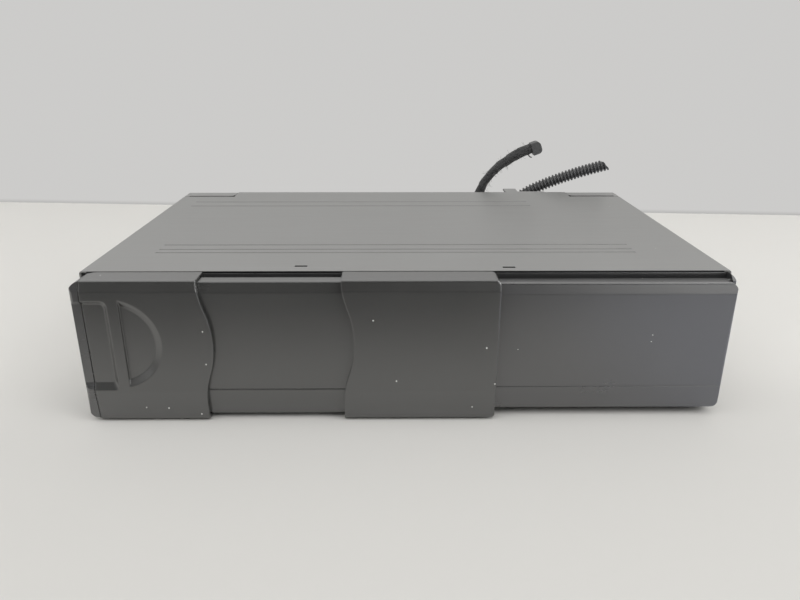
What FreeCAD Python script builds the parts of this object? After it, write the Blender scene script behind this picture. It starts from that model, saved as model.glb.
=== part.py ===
"""A boot-mounted CD changer: sheet metal box, sliding front door, disc magazine and play mechanism.

X runs to the right as seen from the front, Y to the back, Z up. The origin is on the surface that the
changer stands on, under the middle of its length and depth. All sizes are millimetres.
"""

import FreeCAD, Part
import math
import os
from FreeCAD import Vector

# Outer box
HEIGHT = 60.0
WIDTH_SPARE = 15.0
DEPTH_SPARE = 31.7
COVER_SHEET = 0.8
COVER_BEND = 1.2
SKIRT_RISE = 8.0
CHASSIS_SHEET = 1.0
FOOT_HEIGHT = 1.4
FOOT_RADIUS = 9.0
FOOT_INSET_X = 22.0
FOOT_INSET_Y = 20.0
SHEET_GAP = 0.1
EAR_WIDTH = 29.6
EAR_DEPTH = 12.4
EAR_DROP = 0.3
EAR_GAP = 0.4
EAR_FRONT_GAP = 2.0
EAR_CORNER = 5.0

# Cover details: distances from its front edge, its rear edge and its sides
FRONT_BEADS = (25.2, 30.0, 37.0)
REAR_BEADS_AHEAD = (37.1, 26.9)
BEAD_WIDTH = 1.0
BEAD_DEPTH = 0.25
FRONT_BEAD_MARGINS = (21.5, 29.5)
REAR_BEAD_MARGINS = (11.5, 57.5)
HOOK_SLOTS = ((-42.0, 6.3), (40.7, 4.4))
HOOK_SLOT_LENGTH = 5.0
HOOK_SLOT_WIDTH = 1.5

# Front: how far each skin stands ahead of the cover's front edge, and its drop at top and bottom
DOOR_OUT = 12.9
DOOR_WALL = 2.0
DOOR_FLANGE = 0.9
DOOR_REAR_GAP = 0.9
MID_OUT = 10.7
MID_WALL = 1.3
MID_TOP_DROP = 1.1
MID_FLANGE = 1.0
MID_LIP_BACK = 4.1
PANEL_OUT = 9.2
PANEL_WALL = 1.8
PANEL_TOP_DROP = 2.35
LEVEL_GAP = 0.25
FLOOR_GAP = 0.6
END_STRIP_OUT = 12.7
BAND_HEIGHT = 3.6
BAND_SETBACK = 1.1
BOW_DROP = 28.0
CREASE_RISE = 14.0
LOWER_SETBACK = 1.3
CORNER_RISE = 2.2
SKIN_CORNER_RADIUS = 3.0
BLOCK_CORNER_RADIUS = 2.2

# Front: margins to the cover's sides, and widths counted from the magazine's mouth
BEZEL_MARGINS = (0.2, 0.5)
END_STRIP_WIDTH = 4.4
PANEL_START = 13.8
BLOCK_OVERLAP = 15.4
BLOCK_WIDTH = 60.7
MID_WIDTH = 54.0
MID_OVERLAP = 8.0
SIDE_GAP = 0.35
PANEL_CORNER_RADIUS = 3.6
STRIP_CORNER_RADIUS = 5.5
STRIP_PLAN_RADIUS = 3.0
PANEL_PLAN_RADIUS = 1.5
GRIP_PLAN_RADIUS = 3.2
BLOCK_PLAN_RADIUS = 2.6
CREASE_LINE_WIDTH = 0.45
CREASE_LINE_DEPTH = 0.3
S_BULGE = 4.6
S_HALF_HEIGHT = 27.0
S_CENTRE_DROP = 25.5
GROOVE_FRONT = 2.7
GROOVE_DEPTH = 4.2
GROOVE_END_WALL = 1.4
HOOK_GAP = 0.35
HOOK_REACH = 3.4
RAIL_HEIGHT = 6.0
RAIL_BACK = 2.0
FASCIA_GAP = 0.8
FASCIA_LAP = 0.5
FASCIA_SHEET = 1.2
CAP_GAP = 0.3

# Finger recesses in the grip
RECESS_DEPTH = 1.4
PAD_WIDTH = 14.3
PAD_TOP_DROP = 7.6
PAD_BOTTOM_RISE = 14.5
PAD_WALL_TOP = 1.6
PAD_WALL_SIDE = 1.8
PAD_WALL_BOTTOM = 3.2
PAD_CORNER = 3.5
SCOOP_STEP = 4.0
SCOOP_RADIUS = 18.9
SCOOP_WALL = 3.0

# Magazine and discs
DISC_RADIUS = 60.0
DISC_HOLE = 7.5
DISC_THICKNESS = 1.2
DISC_FRONT_ROOM = 8.5
TRAY_COUNT = 6
STACK_ROOM = 38.0
LOWEST_TRAY = 21.1
TRAY_HEIGHT = 2.3
TRAY_FLOOR = 0.8
TRAY_RIM = 1.8
TRAY_END_RIM = 1.6
TRAY_SEAT_WIDTH = 10.0
TRAY_GAP = 0.4
TRAY_END_GAP = 0.5
TRAY_PLAY = 0.15
SEAT_GAP = 0.5
MAGAZINE_SIDE_GAP = 0.3
MAGAZINE_WALL = 2.0
MAGAZINE_SKIN = 1.6
MAGAZINE_HEADROOM = 0.7
MOUTH_MARGIN = 2.4
SHELF_REACH = 1.5
SHELF_HEIGHT = 1.4
SHELF_SETBACK = 6.0
PICKUP_SLOT = 46.0
PULL_GROOVE_INSET = 12.0
CRADLE_SHEET = 1.0
CRADLE_RAIL = 6.0

# Play mechanism
SPINDLE_SIDE_GAP = 0.8
RECEIVING_DROP = 2.9
DECK_SHEET = 1.0
DECK_RISE = 15.6
DECK_SKIRT_RISE = 11.6
DECK_GAP = 5.8
DECK_SIDE_GAP = 3.1
DECK_FRONT = 1.5
DECK_WALL_ROOM = 2.1
STAND_HALF = 18.0
TURNTABLE_RADIUS = 14.0
TURNTABLE_FLANGE = 1.4
TURNTABLE_GAP = 0.6
HUB_RADIUS = 7.3
HUB_TIP_RADIUS = 6.0
HUB_HEIGHT = 1.7
MOTOR_RADIUS = 12.0
MOTOR_HEIGHT = 5.6
MOTOR_FLOOR = 0.8
SHAFT_RADIUS = 1.0
RUNNING_GAP = 0.05
PUCK_RADIUS = 12.0
PUCK_HEIGHT = 2.0
PUCK_ROOF = 0.8
PUCK_CLEAR = 0.5
PUCK_NECK_RADIUS = 4.0
PUCK_HEAD_RADIUS = 6.0
PUCK_HEAD_HEIGHT = 0.8
PUCK_PLAY = 0.3
ARM_SHEET = 1.0
ARM_HALF_WIDTH = 9.0
ARM_PIVOT_AHEAD = 3.4
ARM_PIVOT_RISE = 4.5
ARM_EAR_X = 14.0
ARM_EAR_DEPTH = 4.0
ARM_REAR = 1.5
LUG_LOW = 1.7
LUG_GAP = 1.0
PIN_HEAD = 0.6
ROD_RADIUS = 1.5
ROD_SPREAD = 18.0
ROD_RISE = 15.6
ROD_BLOCK = 3.0
SLED_WIDTH = 42.0
SLED_LENGTH = 15.0
SLED_TOP = 18.1
SLED_BOTTOM = 12.4
SLED_GAP = 1.5
LENS_INNER = 24.0
LENS_LEAD = 5.5
LENS_RADIUS = 3.9
LENS_DEPTH = 1.5
LENS_RISE = 0.1
NUT_LENGTH = 4.5
NUT_HALF = 2.6
SCREW_SPREAD = 28.0
SCREW_BLOCK = 5.0
SCREW_BLOCK_TOP = 19.0
SLED_MOTOR_RADIUS = 3.4
SLED_MOTOR_AHEAD = (20.5, 8.5)
ROD_BLOCK_AHEAD = (8.5, 6.5)

# Lift
CAM_TRAVEL = 30.0
LIFT_EXTRA = 2.8
CAM_SHEET = 1.2
CAM_GAP = 0.5
CAM_SIDE_GAP = 0.1
CAM_FLOOR_GAP = 0.4
CAM_LEFT_REACH = 7.0
TOOTH_MARGIN = 2.0
PIN_RADIUS = 1.5
PIN_INSET = (23.0, 34.5)
PIN_RISE = 14.0
PIN_SLOT_GAP = 0.15
PIN_SLOT_RUN = 2.2
PIN_END = 0.6
WALL_MARGIN = 10.0
RACK_MODULE = 0.8
RACK_BODY = 3.5
LIFT_TEETH = 12
TRAIN_MODULE = 0.6
WHEEL_TEETH = 30
PINION_TEETH = 8
LIFT_GEAR_INSET = 10.0
SMALL_GEAR_WIDTH = 1.6
WHEEL_STEP = (2.5, 4.5)
BRACKET_STEP_BACK = (5.9, 6.9)
GEAR_HUB_RADIUS = 3.2
LIFT_MOTOR_RADIUS = 7.0
LIFT_MOTOR_LENGTH = 6.5
PINION_SHAFT_RADIUS = 0.75
PINION_SHAFT_END = 5.0
MESH_GAP = 0.1
GEAR_BRACKET_REACH = (12.0, 9.0)
GEAR_BRACKET_HEIGHT = (8.5, 6.5)
GEAR_LEG = 1.2

# Floating frame
FRAME_SHEET = 1.0
FRAME_SIDE_GAPS = (2.2, 2.0)
FRAME_FRONT = 3.0
FRAME_WALL_START = 14.0
FRAME_REAR_ROOM = 4.9
FRAME_BASE = 10.0
FRAME_TOP_DROP = 5.4
FRAME_HOLE_MARGIN = 30.0
LID_MARGIN = 13.4
LID_FRONT_BAR = 15.0
LID_REAR_BARS = (20.0, 2.2)
LID_SPINE = 10.0
DAMPER_RADIUS = 6.0
DAMPER_WAIST = 1.5
DAMPER_INSET = 14.6
DAMPER_FRONT = 22.0
DAMPER_AHEAD = 11.2
STUD_RADIUS = 1.5

# Electronics and rear
BOARD_RISE = 4.0
BOARD_THICKNESS = 1.6
BOARD_INSET = 27.6
BOARD_FRONT = 16.0
BOARD_AHEAD = 2.2
BOARD_SCREW_INSET = 4.0
BOARD_SCREW_AHEAD = 12.0
STANDOFF_RADIUS = 3.0
BOARD_HOLE_GAP = 0.35
CHIPS = ((-40.0, 70.0, 16.0, 14.0, 1.6), (10.0, 90.0, 20.0, 18.0, 1.6), (50.0, 120.0, 14.0, 8.0, 2.0))
CHIP_LEG_PITCH = 2.0
CHIP_LEG = 0.6
CHIP_LEG_REACH = 1.0
CHIP_LEG_HEIGHT = 0.5
CHIP_LIFT = 0.1
CAN_COUNT = 5
CAN_START = 18.0
CAN_SPACING = 12.0
CAN_BACK = 30.0
CAN_HEIGHT = 3.6
CAN_RADIUS = 2.5
SOCKET_X = (36.0, 72.0)
SOCKET_DROP = (44.0, 24.0)
SOCKET_DEPTH = 11.0
SOCKET_WALL = 1.5
SOCKET_FLOOR = 2.0
SOCKET_LIP = 0.6
SOCKET_GAP = 0.2
CONTACT_COUNT = 8
CONTACT_PITCH = 3.6
CONTACT_ROW = 3.0
CONTACT_SIZE = 0.8
PLUG_OUT = 24.0
PLUG_GAP = 0.3
PLUG_NOSE = 3.0
TONGUE_OUT = 11.5
TONGUE_X = (62.4, 70.0)
BRACKET_RIGHT = 86.0
BRACKET_STEP = 3.2
BRACKET_HEIGHT = 12.0
BRACKET_SHEET = 1.0
BRACKET_TOP_DROP = 0.2
BRACKET_SCREW_DROP = 8.0
BRACKET_SCREW_INSET = 3.0

# Fixings
THREAD_RADIUS = 2.0
THREAD_SPACING = 100.0
THREAD_BOSS = 1.5
DIAL_RADIUS = 7.5
DIAL_AHEAD = 9.7
DIAL_DROP = 20.0
DIAL_RIM = 2.0
DIAL_GAP = 0.3
DIAL_PEG_OUT = 4.5
DIAL_PEG_RADIUS = 1.0
SCREW_RADIUS = 1.25
SCREW_HEAD_RADIUS = 2.6
SCREW_HEAD_HEIGHT = 1.3
SCREW_LENGTH = 3.0
SCREW_CROSS = (0.7, 3.0, 0.6)
PRESS_GAP = 0.02
TAB_GAP = 0.2
TAB_SHEET = 1.8
TAB_SCREW_BACK = 8.0
TAB_LENGTH = 14.0
TAB_HALF_HEIGHT = 16.0
SKIRT_SCREW_FRONT = 24.0
SKIRT_SCREW_AHEAD = 23.7
SKIRT_SCREW_RISE = 16.0

# Controls, counted from the magazine's mouth
CAP_REACH = (2.4, 9.2)
EJECT_RISE = (23.5, 36.5)
EJECT_CAP_OUT = 6.2
EJECT_CAP_BACK = 1.9
EJECT_WALL = 0.8
STEM_REACH = 3.6
STEM_RADIUS = 1.2
STEM_END = 2.2
LEVER_REACH = (1.7, 5.0)
LEVER_FRONT = 2.5
LEVER_SHEET = 1.4
LEVER_TOP = 33.5
LEVER_LOW = 12.6
LEVER_PIVOT = 15.4
LEVER_STUD_RADIUS = 0.8
LEVER_BARREL_RADIUS = 1.6
GUIDE_REACH = (0.7, 5.3)
GUIDE_FRONT = 0.4
GUIDE_SHEET = 1.0
GUIDE_FOOT_BACK = 12.0
GUIDE_HEAD = 3.5
CHEEK_SHEET = 0.8
CHEEK_BACK = 6.0
CHEEK_HEIGHT = 7.0
POST_INSETS = ((4.6, 4.7), (3.1, 5.5))
POST_RADIUS = 1.5
POST_TOP_DROP = 9.0
SLEEVE_RADIUS = 2.0

# Cables: centre line points, across and as drops, in a plane that stands behind the rear wall
CABLE_OUT = 17.3
HARNESS_DIAMETER = 5.3
CONDUIT_DIAMETER = 7.1
CONDUIT_BORE = 5.0
CONDUIT_ROOT = 6.0
RIB_PITCH = 2.1
HARNESS_ROUTE = ((46.5, 22.0), (46.5, 11.0), (49.8, -0.5), (56.9, -10.2), (65.7, -16.8), (74.3, -21.8),
                 (79.3, -23.7))
CONDUIT_ROUTE = ((60.5, 24.5), (66.6, 13.0), (76.3, 4.3), (88.5, -1.4), (101.6, -6.3), (115.0, -10.5),
                 (127.6, -13.8))
HARNESS_END_SIZE = (5.8, 6.6, 7.4)
HARNESS_END_RADIUS = 2.5
HARNESS_END_DROP = 0.8
CONDUIT_SLANT = (0.0, -0.1, 0.5)
CONDUIT_SLANT_BACK = 1.7

# Places that follow from the sizes above
COVER_WIDTH = 4 * DISC_RADIUS + WIDTH_SPARE
COVER_DEPTH = 2 * DISC_RADIUS + DEPTH_SPARE
FRONT = -(DOOR_OUT + COVER_DEPTH + TONGUE_OUT) / 2 + DOOR_OUT
REAR = FRONT + COVER_DEPTH
COVER_HALF = COVER_WIDTH / 2
CHASSIS_OUTER = COVER_HALF - COVER_SHEET - SHEET_GAP
CHASSIS_INNER = CHASSIS_OUTER - CHASSIS_SHEET
CHASSIS_FLOOR = FOOT_HEIGHT + CHASSIS_SHEET
THREAD_RISE = HEIGHT / 2
DOOR_SOLE = FLOOR_GAP
MID_SOLE = DOOR_SOLE + DOOR_FLANGE + LEVEL_GAP
PANEL_SOLE = MID_SOLE + MID_FLANGE + LEVEL_GAP
REAR_BEADS = tuple(COVER_DEPTH - ahead for ahead in REAR_BEADS_AHEAD)
FRONT_BEAD_SPAN = (FRONT_BEAD_MARGINS[0] - COVER_HALF, COVER_HALF - FRONT_BEAD_MARGINS[1])
REAR_BEAD_SPAN = (REAR_BEAD_MARGINS[0] - COVER_HALF, COVER_HALF - REAR_BEAD_MARGINS[1])
DIAL_BACK = COVER_DEPTH - DIAL_AHEAD
SKIRT_SCREW_BACK = (SKIRT_SCREW_FRONT, COVER_DEPTH - SKIRT_SCREW_AHEAD)
CABLE_BACK = COVER_DEPTH + CABLE_OUT

DISC_BACK = DISC_RADIUS + DISC_FRONT_ROOM
DISC_Y = FRONT + DISC_BACK
TRAY_HALF = DISC_RADIUS + TRAY_RIM
TRAY_TAIL = DISC_RADIUS + TRAY_END_RIM
TRAY_OPENING = DISC_RADIUS - TRAY_SEAT_WIDTH
TRAY_PITCH = (HEIGHT - STACK_ROOM) / (TRAY_COUNT - 1)
FRAME_LEFT = FRAME_SIDE_GAPS[0] - CHASSIS_INNER
FRAME_RIGHT = CHASSIS_INNER - FRAME_SIDE_GAPS[1]
FRAME_BACK = DISC_BACK + TRAY_HALF + FRAME_REAR_ROOM
FRAME_FLOOR = FRAME_BASE + FRAME_SHEET
MAGAZINE_LEFT = FRAME_LEFT + FRAME_SHEET + MAGAZINE_SIDE_GAP
MAGAZINE_DISC_X = MAGAZINE_LEFT + MAGAZINE_WALL + TRAY_END_GAP + TRAY_TAIL
MAGAZINE_MOUTH = MAGAZINE_DISC_X + TRAY_HALF + MOUTH_MARGIN
DAMPER_X = CHASSIS_INNER - DAMPER_INSET
DAMPER_BACK = (DAMPER_FRONT, FRAME_BACK - DAMPER_AHEAD)
BOARD_X = (BOARD_INSET - CHASSIS_INNER, CHASSIS_INNER - BOARD_INSET)
BOARD_BACK = (BOARD_FRONT, COVER_DEPTH - BOARD_AHEAD)

SPINDLE_X = FRAME_RIGHT - FRAME_SHEET - SPINDLE_SIDE_GAP - TRAY_HALF
DECK_LEFT = MAGAZINE_MOUTH + DECK_GAP
DECK_RIGHT = FRAME_RIGHT - FRAME_SHEET - DECK_SIDE_GAP
DECK_WALL_BACK = DISC_BACK + TRAY_HALF + DECK_WALL_ROOM
DECK_TOP = DECK_RISE + DECK_SHEET
ARM_PIVOT_BACK = DECK_WALL_BACK - ARM_PIVOT_AHEAD
SCREW_X = SPINDLE_X + SCREW_SPREAD
SLED_MOTOR_BACK = tuple(DISC_BACK - ahead for ahead in SLED_MOTOR_AHEAD)
ROD_BLOCK_BACK = tuple(DISC_BACK - ahead for ahead in ROD_BLOCK_AHEAD)
POST_PLACES = ((DECK_LEFT + POST_INSETS[0][0], POST_INSETS[0][1]),
               (DECK_RIGHT - POST_INSETS[1][0], POST_INSETS[1][1]))
LIFT_TRAVEL = TRAY_PITCH * (TRAY_COUNT - 1) + LIFT_EXTRA
PIN_X = (DECK_LEFT + PIN_INSET[0], DECK_RIGHT - PIN_INSET[1])
LIFT_GEAR_X = PIN_X[1] - LIFT_GEAR_INSET
CAM_RIGHT = DECK_RIGHT - CAM_SIDE_GAP
CAM_BACK = FRAME_BACK + CAM_GAP
WHEEL_BACK = tuple(CAM_BACK + step for step in WHEEL_STEP)
BRACKET_BACK = tuple(CAM_BACK + step for step in BRACKET_STEP_BACK)

BEZEL_LEFT = BEZEL_MARGINS[0] - COVER_HALF
BEZEL_RIGHT = COVER_HALF - BEZEL_MARGINS[1]
GRIP_LEFT = BEZEL_LEFT + END_STRIP_WIDTH
PANEL_LEFT = MAGAZINE_MOUTH + PANEL_START
BLOCK_RIGHT = PANEL_LEFT + BLOCK_OVERLAP
BLOCK_EDGE = BLOCK_RIGHT - BLOCK_WIDTH
GRIP_EDGE = BLOCK_EDGE - MID_WIDTH
GROOVE_END = BEZEL_RIGHT - GROOVE_END_WALL
FASCIA_X = (MAGAZINE_MOUTH + FASCIA_GAP, PANEL_LEFT + FASCIA_LAP)
PAD_RIGHT = BEZEL_LEFT + PAD_WIDTH
SCOOP_LEFT = PAD_RIGHT + SCOOP_STEP
EJECT_CAP_X = tuple(MAGAZINE_MOUTH + reach for reach in CAP_REACH)
STEM_X = MAGAZINE_MOUTH + STEM_REACH
LEVER_X = tuple(MAGAZINE_MOUTH + reach for reach in LEVER_REACH)
GUIDE_X = tuple(MAGAZINE_MOUTH + reach for reach in GUIDE_REACH)
FAR = 400.0


def top(drop):
    """Height of a place that lies a given drop below the cover's top."""
    return HEIGHT - drop


def box(x0, x1, y0, y1, z0, z1):
    """Block between two corners."""
    return Part.makeBox(x1 - x0, y1 - y0, z1 - z0, Vector(x0, y0, z0))


def upright(x, y, z0, z1, radius):
    """Cylinder along Z."""
    return Part.makeCylinder(radius, z1 - z0, Vector(x, y, z0), Vector(0, 0, 1))


def rod_y(x, z, y0, y1, radius):
    """Cylinder along Y."""
    return Part.makeCylinder(radius, y1 - y0, Vector(x, y0, z), Vector(0, 1, 0))


def rod_x(y, z, x0, x1, radius):
    """Cylinder along X."""
    return Part.makeCylinder(radius, x1 - x0, Vector(x0, y, z), Vector(1, 0, 0))


def fuse(*shapes):
    """One solid from several that touch."""
    return shapes[0].multiFuse(list(shapes[1:])).removeSplitter()


def cut(body, *tools):
    """A solid with each tool taken out of it."""
    for tool in tools:
        body = body.cut(tool)
    return body


def prism_x(points, x0, x1):
    """Outline in the YZ plane pulled along X."""
    outline = Part.makePolygon([Vector(x0, y, z) for y, z in points + points[:1]])
    return Part.Face(outline).extrude(Vector(x1 - x0, 0, 0))


def prism_y(points, y0, y1):
    """Outline in the XZ plane pulled along Y."""
    outline = Part.makePolygon([Vector(x, y0, z) for x, z in points + points[:1]])
    return Part.Face(outline).extrude(Vector(0, y1 - y0, 0))


def prism_z(points, z0, z1):
    """Outline in the XY plane pulled along Z."""
    outline = Part.makePolygon([Vector(x, y, z0) for x, y in points + points[:1]])
    return Part.Face(outline).extrude(Vector(0, 0, z1 - z0))


def rounded_block_y(x0, x1, z0, z1, y0, y1, radius):
    """Block whose four edges along Y are rounded."""
    block = box(x0, x1, y0, y1, z0, z1)
    long_edges = [e for e in block.Edges if abs(e.tangentAt(e.FirstParameter).y) > 0.99]
    return block.makeFillet(radius, long_edges)


def rounded_front_edge(x0, x1, out, x_edge, radius):
    """Tall block whose front edge at one of its sides is rounded as seen from above."""
    y0 = FRONT - out
    block = box(x0, x1, y0, FRONT + 30.0, 0.0, HEIGHT)
    edges = [e for e in block.Edges if abs(e.tangentAt(e.FirstParameter).z) > 0.99
             and e.BoundBox.YMin < y0 + 0.1 and abs(e.BoundBox.XMin - x_edge) < 0.1]
    return block.makeFillet(radius, edges)


# Front profile

def skin_region(out, top_drop, bottom, back, x0, x1):
    """Full block behind a front skin: slanted band, gently bowed face, lower face leaning back."""
    def at(ahead, z):
        return Vector(x0, FRONT - ahead, z)

    roof = top(top_drop)
    band_top = at(out - 0.25 - BAND_SETBACK, roof - 0.7)
    band_end = at(out - 0.25, roof - 0.7 - BAND_HEIGHT)
    bow = at(out, roof - BOW_DROP)
    crease = at(out - 0.15, CREASE_RISE)
    toe = at(out - LOWER_SETBACK, bottom + CORNER_RISE)
    toe_bulge = at(out - LOWER_SETBACK - 0.62, bottom + 0.62)
    sole = at(out - LOWER_SETBACK - CORNER_RISE, bottom)
    brow = at(out - 0.35 - BAND_SETBACK - 0.6, roof)
    brow_bulge = at(out - 0.38 - BAND_SETBACK, roof - 0.22)
    edges = [
        Part.LineSegment(at(back, bottom), at(back, roof)),
        Part.LineSegment(at(back, roof), brow),
        Part.Arc(brow, brow_bulge, band_top),
        Part.LineSegment(band_top, band_end),
        Part.Arc(band_end, bow, crease),
        Part.LineSegment(crease, toe),
        Part.Arc(toe, toe_bulge, sole),
        Part.LineSegment(sole, at(back, bottom)),
    ]
    wire = Part.Wire([edge.toShape() for edge in edges])
    return Part.Face(wire).extrude(Vector(x1 - x0, 0, 0))


def s_edge(base, clearance=0.0):
    """Everything left of a curved edge that bulges to the right by tangent arcs of one radius."""
    middle = top(S_CENTRE_DROP)
    base += clearance
    half = S_HALF_HEIGHT
    radius = (half * half + S_BULGE * S_BULGE) / (4 * S_BULGE)
    angle = math.atan2(half / 2, radius - S_BULGE / 2)
    low_sag = radius * (1 - math.cos(angle / 2))
    low_rise = radius * math.sin(angle / 2)

    def at(x, z):
        return Vector(x, -FAR, z)

    upper, lower = middle + half, middle - half
    edges = [
        Part.LineSegment(at(-FAR, -FAR), at(-FAR, FAR)),
        Part.LineSegment(at(-FAR, FAR), at(base, FAR)),
        Part.LineSegment(at(base, FAR), at(base, upper)),
        Part.Arc(at(base, upper), at(base + low_sag, upper - low_rise),
                 at(base + S_BULGE / 2, middle + half / 2)),
        Part.Arc(at(base + S_BULGE / 2, middle + half / 2), at(base + S_BULGE, middle),
                 at(base + S_BULGE / 2, middle - half / 2)),
        Part.Arc(at(base + S_BULGE / 2, middle - half / 2), at(base + low_sag, lower + low_rise),
                 at(base, lower)),
        Part.LineSegment(at(base, lower), at(base, -FAR)),
        Part.LineSegment(at(base, -FAR), at(-FAR, -FAR)),
    ]
    wire = Part.Wire([edge.toShape() for edge in edges])
    return Part.Face(wire).extrude(Vector(0, 2 * FAR, 0))


def door_hooks(x0, x1):
    """Top and bottom rims that run in the bezel's two grooves."""
    y0 = FRONT - GROOVE_FRONT + HOOK_GAP
    y1 = FRONT - HOOK_GAP
    upper = box(x0, x1, y0, y1, top(DOOR_FLANGE + HOOK_REACH), top(DOOR_FLANGE))
    lower = box(x0, x1, y0, y1, DOOR_SOLE + DOOR_FLANGE, DOOR_SOLE + DOOR_FLANGE + HOOK_REACH)
    return upper, lower


def door_shell(x0, x1):
    """Hooked outer skin of the door between two places across the width."""
    full = skin_region(DOOR_OUT, 0.0, DOOR_SOLE, DOOR_REAR_GAP, x0, x1)
    inside = skin_region(DOOR_OUT - DOOR_WALL, DOOR_FLANGE, DOOR_SOLE + DOOR_FLANGE, -1.0, x0 - 1, x1 + 1)
    return fuse(full.cut(inside), *door_hooks(x0, x1))


def recess_pad_cutter():
    """Left finger recess, open to the left, with sloped right, top and bottom sides."""
    mouth, floor = FRONT - DOOR_OUT - RECESS_DEPTH, FRONT - DOOR_OUT + RECESS_DEPTH
    left = BEZEL_LEFT - 5.0
    z0, z1 = PAD_BOTTOM_RISE, top(PAD_TOP_DROP)
    across = prism_x([(mouth, z0 - PAD_WALL_BOTTOM), (mouth, z1 + PAD_WALL_TOP),
                      (floor, z1 - PAD_WALL_TOP), (floor, z0 + PAD_WALL_BOTTOM)],
                     left, PAD_RIGHT + 2 * PAD_WALL_SIDE)
    upward = prism_z([(left, mouth), (PAD_RIGHT + PAD_WALL_SIDE, mouth), (PAD_RIGHT - PAD_WALL_SIDE, floor),
                      (left, floor)], 0.0, HEIGHT)
    block = across.common(upward)
    corners = [e for e in block.Edges
               if min(abs(e.tangentAt(e.FirstParameter).x), abs(e.tangentAt(e.FirstParameter).z)) > 0.05]
    return block.makeFillet(PAD_CORNER, corners)


def recess_scoop_cutter():
    """Half-moon finger recess: a shallow cone, cut off upright on its left."""
    cone = Part.makeCone(SCOOP_RADIUS + SCOOP_WALL, SCOOP_RADIUS - SCOOP_WALL, 2 * RECESS_DEPTH,
                         Vector(PAD_RIGHT, FRONT - DOOR_OUT - RECESS_DEPTH, top(S_CENTRE_DROP)),
                         Vector(0, 1, 0))
    return cone.common(box(SCOOP_LEFT, SCOOP_LEFT + 40.0, FRONT - 20.0, FRONT, 0.0, HEIGHT))


def crease_line(out, x0, x1):
    """Fine groove along the crease of a front skin."""
    surface = FRONT - out + 0.15
    half = CREASE_LINE_WIDTH / 2
    return box(x0, x1, surface - 1.0, surface + CREASE_LINE_DEPTH, CREASE_RISE - half, CREASE_RISE + half)


def plan_corner(x, side, radius):
    """Tool that rounds the left (-1) or right (1) rear corner of a door skin as seen from above."""
    y = FRONT - DOOR_REAR_GAP
    x0, x1 = sorted((x - side * radius, x + side))
    z0 = top(DOOR_FLANGE + HOOK_REACH + 0.1)
    corner = box(x0, x1, y - radius, FRONT + 1, z0, HEIGHT + 1)
    return corner.cut(upright(x - side * radius, y - radius, z0 - 1, HEIGHT + 2, radius))


def door_grip():
    """Left cover of the door, which the finger pushes to the right."""
    shell = door_shell(GRIP_LEFT, GRIP_EDGE + S_BULGE + 2.0).common(s_edge(GRIP_EDGE))
    shell = cut(shell, recess_pad_cutter(), recess_scoop_cutter())
    return shell.cut(plan_corner(GRIP_LEFT, -1, GRIP_PLAN_RADIUS))


def door_shutter():
    """Recessed middle panel and raised centre block in one moulding."""
    left = GRIP_EDGE - MID_OVERLAP
    step = BLOCK_EDGE + S_BULGE + 3.0
    mid = skin_region(MID_OUT, MID_TOP_DROP, MID_SOLE, MID_LIP_BACK, left, step)
    mid_inside = skin_region(MID_OUT - MID_WALL, MID_TOP_DROP + MID_FLANGE, MID_SOLE + MID_FLANGE, -1.0,
                             left - 1, step)
    mid = cut(mid, mid_inside, crease_line(MID_OUT, left - 1, step))
    outline = rounded_block_y(BLOCK_EDGE - 40.0, BLOCK_RIGHT, DOOR_SOLE, HEIGHT, FRONT - 20.0, FRONT,
                              BLOCK_CORNER_RADIUS)
    raised = door_shell(BLOCK_EDGE, BLOCK_RIGHT).common(outline)
    raised = cut(raised, s_edge(BLOCK_EDGE, SIDE_GAP), plan_corner(BLOCK_RIGHT, 1, BLOCK_PLAN_RADIUS))
    wall = skin_region(DOOR_OUT - 0.5, 0.5, DOOR_SOLE + 0.5, HOOK_GAP + GROOVE_FRONT, BLOCK_EDGE, step)
    wall = wall.cut(skin_region(MID_OUT - MID_WALL, MID_TOP_DROP + MID_FLANGE, MID_SOLE + MID_FLANGE, -1.0,
                                BLOCK_EDGE - 1, step + 1)).cut(s_edge(BLOCK_EDGE, SIDE_GAP))
    return fuse(mid, raised, wall)


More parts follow.
